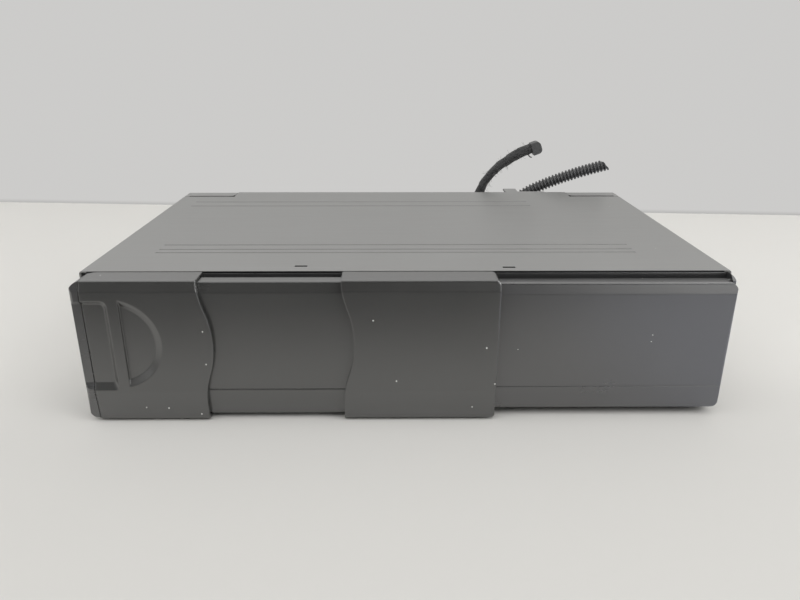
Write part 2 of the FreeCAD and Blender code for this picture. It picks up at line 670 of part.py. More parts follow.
def front_bezel():
    """Fixed plastic front: end strip, two grooved rails, right panel and its end wall."""
    outline = rounded_block_y(BEZEL_LEFT, BEZEL_RIGHT, DOOR_SOLE, HEIGHT, FRONT - 20.0, FRONT + 20.0,
                              SKIN_CORNER_RADIUS)
    strip_right = GRIP_LEFT - SIDE_GAP
    strip_outline = rounded_block_y(BEZEL_LEFT, BEZEL_LEFT + FAR, DOOR_SOLE + 0.2, top(0.1), FRONT - 20.0,
                                    FRONT, STRIP_CORNER_RADIUS)
    strip = skin_region(END_STRIP_OUT, 0.1, DOOR_SOLE + 0.2, 0.0, BEZEL_LEFT, strip_right).common(strip_outline)
    strip_plan = rounded_front_edge(BEZEL_LEFT, strip_right, END_STRIP_OUT, BEZEL_LEFT, STRIP_PLAN_RADIUS)
    strip = strip.common(strip_plan).cut(recess_pad_cutter())
    panel = skin_region(PANEL_OUT, PANEL_TOP_DROP, PANEL_SOLE, 0.0, PANEL_LEFT, BEZEL_RIGHT)
    hollow = skin_region(PANEL_OUT - PANEL_WALL, PANEL_TOP_DROP + PANEL_WALL, PANEL_SOLE + PANEL_WALL, -1.0,
                         PANEL_LEFT - 1, BEZEL_RIGHT - PANEL_WALL)
    panel_outline = rounded_block_y(PANEL_LEFT - FAR, BEZEL_RIGHT, PANEL_SOLE, top(PANEL_TOP_DROP),
                                    FRONT - 20.0, FRONT, PANEL_CORNER_RADIUS)
    panel_plan = rounded_front_edge(PANEL_LEFT, BEZEL_RIGHT, PANEL_OUT, BEZEL_RIGHT, PANEL_PLAN_RADIUS)
    panel = cut(panel, hollow, crease_line(PANEL_OUT, PANEL_LEFT - 1, BEZEL_RIGHT + 1))
    panel = panel.common(panel_outline).common(panel_plan)
    end = prism_x([(FRONT, top(0.1)), (FRONT - 3.3, top(0.1)), (FRONT - 5.5, top(PANEL_TOP_DROP)),
                   (FRONT - 5.5, top(8.0)), (FRONT, top(8.0))], GROOVE_END, BEZEL_RIGHT)
    rail_front = FRONT - MID_LIP_BACK - 0.2
    rail_back = FRONT + RAIL_BACK
    rim_top = top(COVER_SHEET + 0.15)
    rail_ends = (strip_right - 1.5, BEZEL_RIGHT - 0.5)
    upper = box(*rail_ends, rail_front, rail_back, top(PANEL_TOP_DROP + RAIL_HEIGHT), top(PANEL_TOP_DROP))
    upper = fuse(upper, box(*rail_ends, FRONT, rail_back, top(PANEL_TOP_DROP + 1.0), rim_top))
    lower = box(*rail_ends, rail_front, rail_back, PANEL_SOLE, PANEL_SOLE + RAIL_HEIGHT)
    body = fuse(strip, panel, end, upper, lower).common(outline)
    upper_groove = box(strip_right, GROOVE_END, FRONT - GROOVE_FRONT, FRONT,
                       top(PANEL_TOP_DROP + GROOVE_DEPTH), HEIGHT + 1)
    lower_groove = box(strip_right, GROOVE_END, FRONT - GROOVE_FRONT, FRONT, 0.0, PANEL_SOLE + GROOVE_DEPTH)
    body = cut(body, upper_groove, lower_groove)
    tabs = []
    for side in (-1, 1):
        inner, outer = sorted((side * (CHASSIS_INNER - TAB_GAP),
                               side * (CHASSIS_INNER - TAB_GAP - TAB_SHEET)))
        tab = box(inner, outer, FRONT, FRONT + TAB_LENGTH, THREAD_RISE - TAB_HALF_HEIGHT,
                  THREAD_RISE + TAB_HALF_HEIGHT)
        tab = tab.cut(rod_x(FRONT + TAB_SCREW_BACK, THREAD_RISE, inner - 1, outer + 1, SCREW_RADIUS))
        tabs.append(tab)
    fascia = box(FASCIA_X[0], FASCIA_X[1], rail_front, rail_front + FASCIA_SHEET,
                 PANEL_SOLE + RAIL_HEIGHT - 0.5, top(PANEL_TOP_DROP + RAIL_HEIGHT) + 0.5)
    fascia = fascia.cut(box(EJECT_CAP_X[0] - CAP_GAP, EJECT_CAP_X[1] + CAP_GAP, FRONT - 8.0, FRONT,
                            EJECT_RISE[0] - CAP_GAP, EJECT_RISE[1] + CAP_GAP))
    left_root = box(BEZEL_LEFT + 0.5, strip_right, FRONT - 4.0, FRONT - 0.05, SKIRT_RISE, top(10.0))
    return fuse(body, left_root, fascia, *tabs)


# Cover, chassis and rear

def side_screw_places():
    """Cover screws: two on each side, given as side and distance back."""
    return [(side, back) for side in (-1, 1) for back in SKIRT_SCREW_BACK]


def thread_places():
    """Fixing threads: two on each side, given as side and distance back."""
    middle = COVER_DEPTH / 2
    return [(side, middle + step * THREAD_SPACING / 2) for side in (-1, 1) for step in (-1, 1)]


def top_cover():
    """Painted sheet with side skirts, beads, hook slots and cut-out rear corners."""
    z0 = SKIRT_RISE
    shell = box(-COVER_HALF, COVER_HALF, FRONT, REAR, z0, HEIGHT)
    bends = [e for e in shell.Edges
             if abs(e.tangentAt(e.FirstParameter).y) > 0.99 and e.BoundBox.ZMin > HEIGHT - 0.1]
    shell = shell.makeFillet(COVER_BEND, bends)
    inside = box(-COVER_HALF + COVER_SHEET, COVER_HALF - COVER_SHEET, FRONT - 1, REAR + 1, z0 - 1,
                 HEIGHT - COVER_SHEET)
    shell = shell.cut(inside)
    tools = []
    for beads, span in ((FRONT_BEADS, FRONT_BEAD_SPAN), (REAR_BEADS, REAR_BEAD_SPAN)):
        for back in beads:
            tools.append(box(span[0], span[1], FRONT + back - BEAD_WIDTH / 2, FRONT + back + BEAD_WIDTH / 2,
                             HEIGHT - BEAD_DEPTH, HEIGHT + 1))
    for x, back in HOOK_SLOTS:
        y, half, reach = FRONT + back, HOOK_SLOT_LENGTH / 2, HOOK_SLOT_WIDTH / 2
        tools.append(box(x - half, x + half, y - reach, y + reach, HEIGHT - 3, HEIGHT + 1))
    for side in (-1, 1):
        x0, x1 = sorted((side * (COVER_HALF - EAR_WIDTH), side * (COVER_HALF + 1)))
        tools.append(box(x0, x1, REAR - EAR_DEPTH, REAR + 1, top(2.2), HEIGHT + 1))
        wall = sorted((side * (COVER_HALF - 3), side * (COVER_HALF + 3)))
        tools.append(rod_x(FRONT + DIAL_BACK, top(DIAL_DROP), wall[0], wall[1], DIAL_RADIUS + DIAL_GAP))
    for side, back in thread_places():
        wall = sorted((side * (COVER_HALF - 3), side * (COVER_HALF + 3)))
        tools.append(rod_x(FRONT + back, THREAD_RISE, wall[0], wall[1], THREAD_RADIUS * 1.8))
    for side, back in side_screw_places():
        wall = sorted((side * (COVER_HALF - 3), side * (COVER_HALF + 3)))
        tools.append(rod_x(FRONT + back, SKIRT_SCREW_RISE, wall[0], wall[1], SCREW_RADIUS + 0.2))
    return cut(shell, *tools)


def bottom_chassis():
    """Pan with pressed feet and side walls that hold the fixing threads."""
    front = FRONT + 2.3
    floor = box(-CHASSIS_OUTER, CHASSIS_OUTER, front, REAR - CHASSIS_SHEET - SHEET_GAP, FOOT_HEIGHT,
                CHASSIS_FLOOR)
    walls = []
    for side in (-1, 1):
        x0, x1 = sorted((side * CHASSIS_INNER, side * CHASSIS_OUTER))
        walls.append(box(x0, x1, front, REAR - CHASSIS_SHEET - SHEET_GAP, FOOT_HEIGHT, top(2.6)))
    feet = []
    for x in (-COVER_HALF + FOOT_INSET_X, COVER_HALF - FOOT_INSET_X):
        for y in (FRONT + FOOT_INSET_Y, REAR - FOOT_INSET_Y):
            foot = Part.makeCone(FOOT_RADIUS, FOOT_RADIUS + FOOT_HEIGHT, FOOT_HEIGHT, Vector(x, y, 0))
            feet.append(foot)
    bosses = []
    holes = []
    for side, back in thread_places():
        x0, x1 = sorted((side * (CHASSIS_INNER - THREAD_BOSS), side * CHASSIS_OUTER))
        bosses.append(rod_x(FRONT + back, THREAD_RISE, x0, x1, THREAD_RADIUS * 2))
        holes.append(rod_x(FRONT + back, THREAD_RISE, x0 - 1, x1 + 1, THREAD_RADIUS))
    for side, back in side_screw_places():
        x0, x1 = sorted((side * (CHASSIS_INNER - 1), side * (CHASSIS_OUTER + 1)))
        holes.append(rod_x(FRONT + back, SKIRT_SCREW_RISE, x0, x1, SCREW_RADIUS))
    for side in (-1, 1):
        x0, x1 = sorted((side * (CHASSIS_INNER - 1), side * (CHASSIS_OUTER + 1)))
        holes.append(rod_x(FRONT + DIAL_BACK, top(DIAL_DROP), x0, x1, DIAL_RADIUS - DIAL_RIM))
        holes.append(rod_x(FRONT + TAB_SCREW_BACK, THREAD_RISE, x0, x1, SCREW_RADIUS))
    for x in (-DAMPER_X, DAMPER_X):
        for back in DAMPER_BACK:
            holes.append(upright(x, FRONT + back, FOOT_HEIGHT - 1, CHASSIS_FLOOR + 1, STUD_RADIUS))
    return cut(fuse(floor, *walls, *feet, *bosses), *holes)


def rear_panel():
    """Rear wall with the socket window and the two corner ears."""
    back_plate = box(-CHASSIS_INNER + 0.1, CHASSIS_INNER - 0.1, REAR - CHASSIS_SHEET, REAR, FOOT_HEIGHT,
                     HEIGHT - COVER_SHEET - SHEET_GAP)
    parts = [back_plate]
    for side in (-1, 1):
        x0, x1 = sorted((side * (COVER_HALF - EAR_WIDTH + EAR_GAP), side * (COVER_HALF - EAR_GAP)))
        ear = box(x0, x1, REAR - EAR_DEPTH + EAR_FRONT_GAP, REAR, top(EAR_DROP + 1.1), top(EAR_DROP))
        corner = [e for e in ear.Edges if abs(e.tangentAt(e.FirstParameter).z) > 0.99
                  and abs(abs(e.BoundBox.XMin) - (COVER_HALF - EAR_WIDTH + EAR_GAP)) < 0.1
                  and e.BoundBox.YMax < REAR - 1]
        parts.append(ear.makeFillet(EAR_CORNER, corner))
        w0, w1 = sorted((side * (COVER_HALF - EAR_WIDTH + EAR_GAP), side * (CHASSIS_INNER - 0.1)))
        parts.append(box(w0, w1, REAR - CHASSIS_SHEET, REAR, top(3.0), top(EAR_DROP)))
        f0, f1 = sorted((side * (CHASSIS_INNER - 0.2), side * (CHASSIS_INNER - 1.2)))
        parts.append(box(f0, f1, REAR - 2.0, REAR, CHASSIS_FLOOR + 1, top(8.0)))
    window = box(SOCKET_X[0] - SOCKET_GAP, SOCKET_X[1] + SOCKET_GAP, REAR - 3, REAR + 1,
                 top(SOCKET_DROP[0]) - SOCKET_GAP, top(SOCKET_DROP[1]) + SOCKET_GAP)
    holes = [rod_y(x, top(BRACKET_SCREW_DROP), REAR - 3, REAR + 1, SCREW_RADIUS) for x in bracket_screw_x()]
    return cut(fuse(*parts), window, *holes)


def bracket_screw_x():
    """Places of the two screws that hold the cable bracket."""
    return (TONGUE_X[0] + BRACKET_SCREW_INSET, BRACKET_RIGHT - BRACKET_SCREW_INSET)


def cable_bracket():
    """Small sheet angle on the rear wall with a tongue that the cables are tied to."""
    z1 = top(BRACKET_TOP_DROP)
    z0 = z1 - BRACKET_SHEET
    flange = box(TONGUE_X[0], BRACKET_RIGHT, REAR, REAR + BRACKET_SHEET, top(BRACKET_HEIGHT), z1)
    shelf = box(TONGUE_X[0], BRACKET_RIGHT, REAR, REAR + BRACKET_STEP, z0, z1)
    tongue = box(TONGUE_X[0], TONGUE_X[1], REAR, REAR + TONGUE_OUT, z0, z1)
    holes = [rod_y(x, top(BRACKET_SCREW_DROP), REAR - 1, REAR + 3, SCREW_RADIUS) for x in bracket_screw_x()]
    return cut(fuse(flange, shelf, tongue), *holes)


def pan_screw(origin, direction, shank):
    """Screw whose head stands on a face at the origin and whose shank runs against the direction."""
    axis = Vector(*direction)
    start = Vector(*origin)
    head = Part.makeCylinder(SCREW_HEAD_RADIUS, SCREW_HEAD_HEIGHT, start, axis)
    rims = [e for e in head.Edges if e.BoundBox.DiagonalLength > SCREW_HEAD_RADIUS
            and (e.BoundBox.Center - start).dot(axis) > SCREW_HEAD_HEIGHT * 0.9]
    head = head.makeFillet(SCREW_HEAD_HEIGHT * 0.4, rims)
    shaft = Part.makeCylinder(SCREW_RADIUS - PRESS_GAP, shank, start - axis * shank, axis)
    screw = fuse(head, shaft)
    width, length, depth = SCREW_CROSS
    slot_at = start + axis * (SCREW_HEAD_HEIGHT - depth)
    for turn in (0, 90):
        across = Part.makeBox(width, length, depth + 1, Vector(-width / 2, -length / 2, 0))
        across.rotate(Vector(0, 0, 0), Vector(0, 0, 1), turn)
        across.Placement = FreeCAD.Placement(slot_at,
                                             FreeCAD.Rotation(Vector(0, 0, 1), axis)) * across.Placement
        screw = screw.cut(across)
    return screw


def case_screws():
    """Eight alike screws: four in the skirts, two in the cable bracket, two in the bezel's side tabs."""
    screws = []
    for side, back in side_screw_places():
        screws.append(pan_screw((side * COVER_HALF, FRONT + back, SKIRT_SCREW_RISE), (side, 0, 0),
                                SCREW_LENGTH))
    for x in bracket_screw_x():
        screws.append(pan_screw((x, REAR + BRACKET_SHEET, top(BRACKET_SCREW_DROP)), (0, 1, 0),
                                SCREW_LENGTH))
    for side in (-1, 1):
        place = (side * (CHASSIS_INNER - TAB_GAP - TAB_SHEET), FRONT + TAB_SCREW_BACK, THREAD_RISE)
        screws.append(pan_screw(place, (-side, 0, 0), SCREW_LENGTH))
    return Part.makeCompound(screws)


def angle_dial(side):
    """Slotted dial, flush in the side, that sets the suspension for flat or upright fitting."""
    y, z = FRONT + DIAL_BACK, top(DIAL_DROP)
    sides = sorted((side * (CHASSIS_OUTER + 0.1), side * COVER_HALF))
    face = rod_x(y, z, sides[0], sides[1], DIAL_RADIUS)
    neck = sorted((side * (CHASSIS_INNER - 0.3), side * (CHASSIS_OUTER + 0.1)))
    neck_rod = rod_x(y, z, neck[0], neck[1], DIAL_RADIUS - DIAL_RIM - RUNNING_GAP)
    lever_x = sorted((side * (CHASSIS_INNER - 1.5), side * (CHASSIS_INNER - 0.3)))
    lever = rod_x(y, z, lever_x[0], lever_x[1], DIAL_RADIUS - 1.0)
    peg = sorted((side * (CHASSIS_INNER - 5.0), side * (CHASSIS_INNER - 1.5)))
    peg_rod = rod_x(y, z + DIAL_PEG_OUT, peg[0], peg[1], DIAL_PEG_RADIUS)
    dial = fuse(face, neck_rod, lever, peg_rod)
    slot = sorted((side * (COVER_HALF - 0.5), side * (COVER_HALF + 1)))
    return dial.cut(box(slot[0], slot[1], y - 5.5, y + 5.5, z - 0.9, z + 0.9))


# Electronics

def main_board():
    """Circuit board with four screw holes."""
    z0 = BOARD_RISE
    plate = box(BOARD_X[0], BOARD_X[1], FRONT + BOARD_BACK[0], FRONT + BOARD_BACK[1], z0,
                z0 + BOARD_THICKNESS)
    holes = [upright(x, y, z0 - 1, z0 + 3, SCREW_RADIUS + BOARD_HOLE_GAP) for x, y in board_screw_places()]
    return cut(plate, *holes)


def board_screw_places():
    """Four board screws in its corners."""
    xs = (BOARD_X[0] + BOARD_SCREW_INSET, BOARD_X[1] - BOARD_SCREW_INSET)
    ys = (FRONT + BOARD_BACK[0] + BOARD_SCREW_INSET, FRONT + BOARD_BACK[1] - BOARD_SCREW_AHEAD)
    return [(x, y) for x in xs for y in ys]


def board_standoffs():
    """Four spacers between the pan and the board."""
    spacers = []
    for x, y in board_screw_places():
        spacer = upright(x, y, CHASSIS_FLOOR, BOARD_RISE, STANDOFF_RADIUS)
        spacers.append(spacer.cut(upright(x, y, 0, HEIGHT, SCREW_RADIUS)))
    return Part.makeCompound(spacers)


def board_screws():
    """Four screws that hold the board."""
    z = BOARD_RISE + BOARD_THICKNESS
    screws = [pan_screw((x, y, z), (0, 0, 1), SCREW_LENGTH) for x, y in board_screw_places()]
    return Part.makeCompound(screws)


def chip(x, back, width, depth, height):
    """Flat chip with a row of legs on two sides."""
    z = BOARD_RISE + BOARD_THICKNESS
    y = FRONT + back
    parts = [box(x - width / 2, x + width / 2, y - depth / 2, y + depth / 2, z + CHIP_LIFT, z + height)]
    count = int(width // CHIP_LEG_PITCH)
    for k in range(count):
        leg_x = x + (k - (count - 1) / 2) * CHIP_LEG_PITCH
        for side in (-1, 1):
            y0, y1 = sorted((y + side * (depth / 2 - CHIP_LEG_REACH / 2),
                             y + side * (depth / 2 + CHIP_LEG_REACH)))
            parts.append(box(leg_x - CHIP_LEG / 2, leg_x + CHIP_LEG / 2, y0, y1, z, z + CHIP_LEG_HEIGHT))
    return fuse(*parts)


def board_chips():
    """Servo, control and driver chips."""
    return Part.makeCompound([chip(*sizes) for sizes in CHIPS])


def capacitors():
    """Row of small can capacitors."""
    z = BOARD_RISE + BOARD_THICKNESS
    xs = [BOARD_X[0] + CAN_START + index * CAN_SPACING for index in range(CAN_COUNT)]
    cans = [upright(x, FRONT + CAN_BACK, z, z + CAN_HEIGHT, CAN_RADIUS) for x in xs]
    return Part.makeCompound(cans)


def rear_socket():
    """Multi-pin header: hollow shroud that shows in the rear wall, with its row of pins."""
    x0, x1 = SOCKET_X
    z0, z1 = top(SOCKET_DROP[0]), top(SOCKET_DROP[1])
    y0, y1 = REAR - SOCKET_DEPTH, REAR + SOCKET_LIP
    shell = box(x0, x1, y0, y1, z0, z1)
    shell = shell.cut(box(x0 + SOCKET_WALL, x1 - SOCKET_WALL, y0 + SOCKET_FLOOR, y1 + 1, z0 + SOCKET_WALL,
                          z1 - SOCKET_WALL))
    pins = []
    half = CONTACT_SIZE / 2
    for k in range(CONTACT_COUNT):
        for row in (-1, 1):
            x = (x0 + x1) / 2 + (k - (CONTACT_COUNT - 1) / 2) * CONTACT_PITCH
            z = (z0 + z1) / 2 + row * CONTACT_ROW
            pins.append(box(x - half, x + half, y0 + SOCKET_FLOOR / 2, y1 - 5.0, z - half, z + half))
    foot = box(x0 + 4, x1 - 4, y0, y0 + 4.0, BOARD_RISE + BOARD_THICKNESS, z0)
    return fuse(shell, foot, *pins)


# Floating frame

def floating_frame():
    """Sheet tray with side and rear walls that carries everything that plays."""
    z0 = FRAME_BASE
    z1 = top(FRAME_TOP_DROP + FRAME_SHEET)
    y0, y1 = FRONT + FRAME_FRONT, FRONT + FRAME_BACK
    base = box(FRAME_LEFT, FRAME_RIGHT, y0, y1, z0, z0 + FRAME_SHEET)
    left = box(FRAME_LEFT, FRAME_LEFT + FRAME_SHEET, y0 + FRAME_WALL_START, y1, z0, z1)
    right = box(FRAME_RIGHT - FRAME_SHEET, FRAME_RIGHT, y0 + FRAME_WALL_START, y1, z0, z1)
    back = box(FRAME_LEFT, FRAME_RIGHT, y1 - FRAME_SHEET, y1, z0, z1)
    margin = FRAME_HOLE_MARGIN
    holes = [box(FRAME_LEFT + LID_MARGIN, MAGAZINE_MOUTH - margin, y0 + margin, y1 - margin, z0 - 1, z0 + 2)]
    for x in PIN_X:
        half = PIN_RADIUS + PIN_SLOT_GAP
        holes.append(box(x - half, x + half, y1 - 3, y1 + 1, PIN_RISE - PIN_SLOT_RUN,
                         PIN_RISE + LIFT_TRAVEL + PIN_SLOT_RUN))
    for x in (-DAMPER_X, DAMPER_X):
        for back_y in DAMPER_BACK:
            holes.append(upright(x, FRONT + back_y, z0 - 1, z0 + 3, STUD_RADIUS))
    holes.append(rod_y(LIFT_GEAR_X, lift_gear_z(), y1 - 3, y1 + 1, STUD_RADIUS))
    return cut(fuse(base, left, right, back), *holes)


def frame_lid():
    """Roof of the floating frame, with two large windows."""
    z1 = top(FRAME_TOP_DROP)
    y0, y1 = FRONT + FRAME_FRONT + FRAME_WALL_START, FRONT + FRAME_BACK
    lid = box(FRAME_LEFT, FRAME_RIGHT, y0, y1, z1 - FRAME_SHEET, z1)
    front = y0 + LID_FRONT_BAR
    windows = [box(FRAME_LEFT + LID_MARGIN, -LID_SPINE, front, y1 - LID_REAR_BARS[0], z1 - 3, z1 + 1),
               box(LID_SPINE, FRAME_RIGHT - LID_MARGIN, front, y1 - LID_REAR_BARS[1], z1 - 3, z1 + 1)]
    return cut(lid, *windows)


def dampers():
    """Four rubber bellows between the pan and the floating frame."""
    z0, z1 = CHASSIS_FLOOR, FRAME_BASE
    rubbers = []
    for x in (-DAMPER_X, DAMPER_X):
        for back in DAMPER_BACK:
            waist = (z0 + z1) / 2
            lower = Part.makeCone(DAMPER_RADIUS, DAMPER_RADIUS - DAMPER_WAIST, waist - z0,
                                  Vector(x, FRONT + back, z0))
            upper = Part.makeCone(DAMPER_RADIUS - DAMPER_WAIST, DAMPER_RADIUS, z1 - waist,
                                  Vector(x, FRONT + back, waist))
            rubbers.append(fuse(lower, upper).cut(upright(x, FRONT + back, z0 - 1, z1 + 1, STUD_RADIUS)))
    return Part.makeCompound(rubbers)


def damper_studs():
    """Four studs through pan, rubber and frame."""
    radius = STUD_RADIUS - PRESS_GAP
    return Part.makeCompound([upright(x, FRONT + back, FOOT_HEIGHT, FRAME_FLOOR, radius)
                              for x in (-DAMPER_X, DAMPER_X) for back in DAMPER_BACK])


# Magazine

def tray_rise(level):
    """Height of a tray's underside, counted from the lowest tray."""
    return LOWEST_TRAY + level * TRAY_PITCH


def magazine_box():
    """Corners of the magazine case: left, front, back, floor and roof."""
    half = TRAY_HALF + TRAY_GAP + MAGAZINE_WALL
    floor = LOWEST_TRAY - MAGAZINE_HEADROOM - MAGAZINE_SKIN
    roof = tray_rise(TRAY_COUNT - 1) + TRAY_HEIGHT + MAGAZINE_HEADROOM + MAGAZINE_SKIN
    return MAGAZINE_LEFT, DISC_Y - half, DISC_Y + half, floor, roof


def magazine_case():
    """Case open to the right, with a shelf on two sides under each tray and a pull rim in front."""
    left, front, back, floor, roof = magazine_box()
    case = box(left, MAGAZINE_MOUTH, front, back, floor, roof)
    inner_front, inner_back = front + MAGAZINE_WALL, back - MAGAZINE_WALL
    case = case.cut(box(left + MAGAZINE_WALL, MAGAZINE_MOUTH + 1, inner_front, inner_back,
                        floor + MAGAZINE_SKIN, roof - MAGAZINE_SKIN))
    shelves = []
    for level in range(TRAY_COUNT):
        z1 = tray_rise(level) - TRAY_PLAY
        room = TRAY_PITCH - TRAY_HEIGHT - 2 * TRAY_PLAY
        z0 = z1 - min(SHELF_HEIGHT, room, z1 - floor - 0.2)
        x1 = MAGAZINE_MOUTH - SHELF_SETBACK
        shelves.append(box(left + 1, x1, inner_front - 0.5, inner_front + SHELF_REACH, z0, z1))
        shelves.append(box(left + 1, x1, inner_back - SHELF_REACH, inner_back + 0.5, z0, z1))
    groove = box(left + PULL_GROOVE_INSET, MAGAZINE_MOUTH - PULL_GROOVE_INSET, front - 1,
                 front + MAGAZINE_WALL * 0.4, roof - 7.5, roof - 4.5)
    return fuse(case, *shelves).cut(groove)


def tray(level):
    """Open ring that holds one disc, with a slot for the pickup and a round leading end."""
    z0 = tray_rise(level)
    half = TRAY_HALF
    left = MAGAZINE_DISC_X - TRAY_TAIL
    plate = fuse(box(left, MAGAZINE_DISC_X, DISC_Y - half, DISC_Y + half, z0, z0 + TRAY_HEIGHT),
                 upright(MAGAZINE_DISC_X, DISC_Y, z0, z0 + TRAY_HEIGHT, half))
    seat = upright(MAGAZINE_DISC_X, DISC_Y, z0 + TRAY_FLOOR, z0 + TRAY_HEIGHT + 1, DISC_RADIUS + SEAT_GAP)
    opening = upright(MAGAZINE_DISC_X, DISC_Y, z0 - 1, z0 + TRAY_HEIGHT + 1, TRAY_OPENING)
    slot = box(MAGAZINE_DISC_X - PICKUP_SLOT / 2, MAGAZINE_DISC_X + PICKUP_SLOT / 2, DISC_Y - half + 1.2,
               DISC_Y, z0 - 1, z0 + TRAY_FLOOR + 0.01)
    return cut(plate, seat, opening, slot)


def disc(level):
    """Disc that lies in its tray."""
    z0 = tray_rise(level) + TRAY_FLOOR
    plate = upright(MAGAZINE_DISC_X, DISC_Y, z0, z0 + DISC_THICKNESS, DISC_RADIUS)
    return plate.cut(upright(MAGAZINE_DISC_X, DISC_Y, z0 - 1, z0 + 3, DISC_HOLE))


def magazine_cradle():
    """Plastic floor and side rails that the magazine runs on."""
    left, front, back, floor, roof = magazine_box()
    z0 = FRAME_FLOOR
    z1 = floor - TRAY_PLAY
    y0, y1 = FRONT + FRAME_FRONT + 2.0, back + CRADLE_SHEET
    rails = []
    for x in (left + 4.0, MAGAZINE_DISC_X - CRADLE_RAIL / 3, MAGAZINE_MOUTH - 10.0):
        rails.append(box(x, x + CRADLE_RAIL, y0, y1, z0 + CRADLE_SHEET / 2, z1))
    deck = box(left + 2.0, MAGAZINE_MOUTH - 2.0, y0, y1, z0, z0 + CRADLE_SHEET)
    inner_y = (front + FRAME_HOLE_MARGIN, back - FRAME_HOLE_MARGIN)
    window = box(left + 14.0, MAGAZINE_MOUTH - 14.0, inner_y[0], inner_y[1], z0 - 1, z0 + 2)
    fence = box(left + CRADLE_RAIL, MAGAZINE_DISC_X - 2 * CRADLE_RAIL, back + 0.2, y1, z0, roof - 8.0)
    notch = box(-FAR, FAR, inner_y[0], inner_y[1], z0 - 1, z0 + CRADLE_SHEET)
    return fuse(deck.cut(window), fence, *[rail.cut(notch) for rail in rails])


# Controls

def eject_z():
    """Height of the eject button's middle."""
    return sum(EJECT_RISE) / 2


def eject_button():
    """Hollow push button beside the magazine, with a stem that presses on the catch lever."""
    x0, x1 = EJECT_CAP_X
    y0, y1 = FRONT - EJECT_CAP_OUT, FRONT - EJECT_CAP_BACK
    z0, z1 = EJECT_RISE
    cap = box(x0, x1, y0, y1, z0, z1)
    cap = cap.makeFillet(EJECT_WALL, [e for e in cap.Edges if e.BoundBox.YMax < y0 + 0.1])
    cap = cap.cut(box(x0 + 4.0, x1 - EJECT_WALL, y0 + 1.4, y1 + 1, z0 + EJECT_WALL, z1 - EJECT_WALL))
    stem = rod_y(STEM_X, eject_z(), y1 - 0.5, FRONT + STEM_END, STEM_RADIUS)
    return fuse(cap, stem)


def eject_guide():
    """Bracket on the frame that the button's stem slides in, with the catch lever's stud."""
    x0, x1 = GUIDE_X
    y0 = FRONT + GUIDE_FRONT
    z0 = FRAME_FLOOR
    wall = box(x0, x1, y0, y0 + GUIDE_SHEET, z0, eject_z() + GUIDE_HEAD)
    foot = box(x0, x1, y0, FRONT + GUIDE_FOOT_BACK, z0, z0 + GUIDE_SHEET)
    cheek = box(x0, x0 + CHEEK_SHEET, y0, FRONT + CHEEK_BACK, z0, z0 + CHEEK_HEIGHT)
    stud = rod_x(FRONT + LEVER_FRONT + LEVER_SHEET / 2, LEVER_PIVOT, x0, x1, LEVER_STUD_RADIUS)
    guide = fuse(wall, foot, cheek, stud)
    return guide.cut(rod_y(STEM_X, eject_z(), y0 - 1, y0 + GUIDE_SHEET + 0.1, STEM_RADIUS + RUNNING_GAP))


def catch_lever():
    """Upright lever that the stem tips; its foot frees the magazine."""
    x0, x1 = LEVER_X
    y0 = FRONT + LEVER_FRONT
    y1 = y0 + LEVER_SHEET
    blade = box(x0, x1, y0, y1, LEVER_LOW, LEVER_TOP)
    barrel = rod_x((y0 + y1) / 2, LEVER_PIVOT, x0, x1, LEVER_BARREL_RADIUS)
    bore = rod_x((y0 + y1) / 2, LEVER_PIVOT, x0 - 1, x1 + 1, LEVER_STUD_RADIUS + RUNNING_GAP)
    return fuse(blade, barrel).cut(bore)


def guide_posts():
    """Two posts at the front that the deck's sleeves run on."""
    z0, z1 = FRAME_FLOOR, top(POST_TOP_DROP)
    return Part.makeCompound([upright(x, FRONT + back, z0, z1, POST_RADIUS) for x, back in POST_PLACES])


# Lift train

def lift_gear_z():
    """Height of the lift gear's axis above the rack."""
    return rack_rise() + RACK_MODULE * LIFT_TEETH / 2


def rack_rise():
    """Height of the rack's pitch line."""
    return PIN_RISE + LIFT_TRAVEL + PIN_RADIUS + RACK_BODY


def gear(teeth, module, x, z, y0, y1, phase=0.0, thin=0.82):
    """Spur gear along Y with slim straight-flanked teeth; the phase is in degrees."""
    pitch_radius = module * teeth / 2
    root = pitch_radius - 1.15 * module
    tip = pitch_radius + 0.85 * module
    quarter = math.pi / teeth / 2 * thin
    points = []
    for k in range(teeth):
        middle = 2 * math.pi * k / teeth + math.radians(phase)
        for radius, spread in ((root, -1.5), (tip, -0.45), (tip, 0.45), (root, 1.5)):
            angle = middle + spread * quarter
            points.append((x + radius * math.sin(angle), z + radius * math.cos(angle)))
    return prism_y(points, y0, y1)


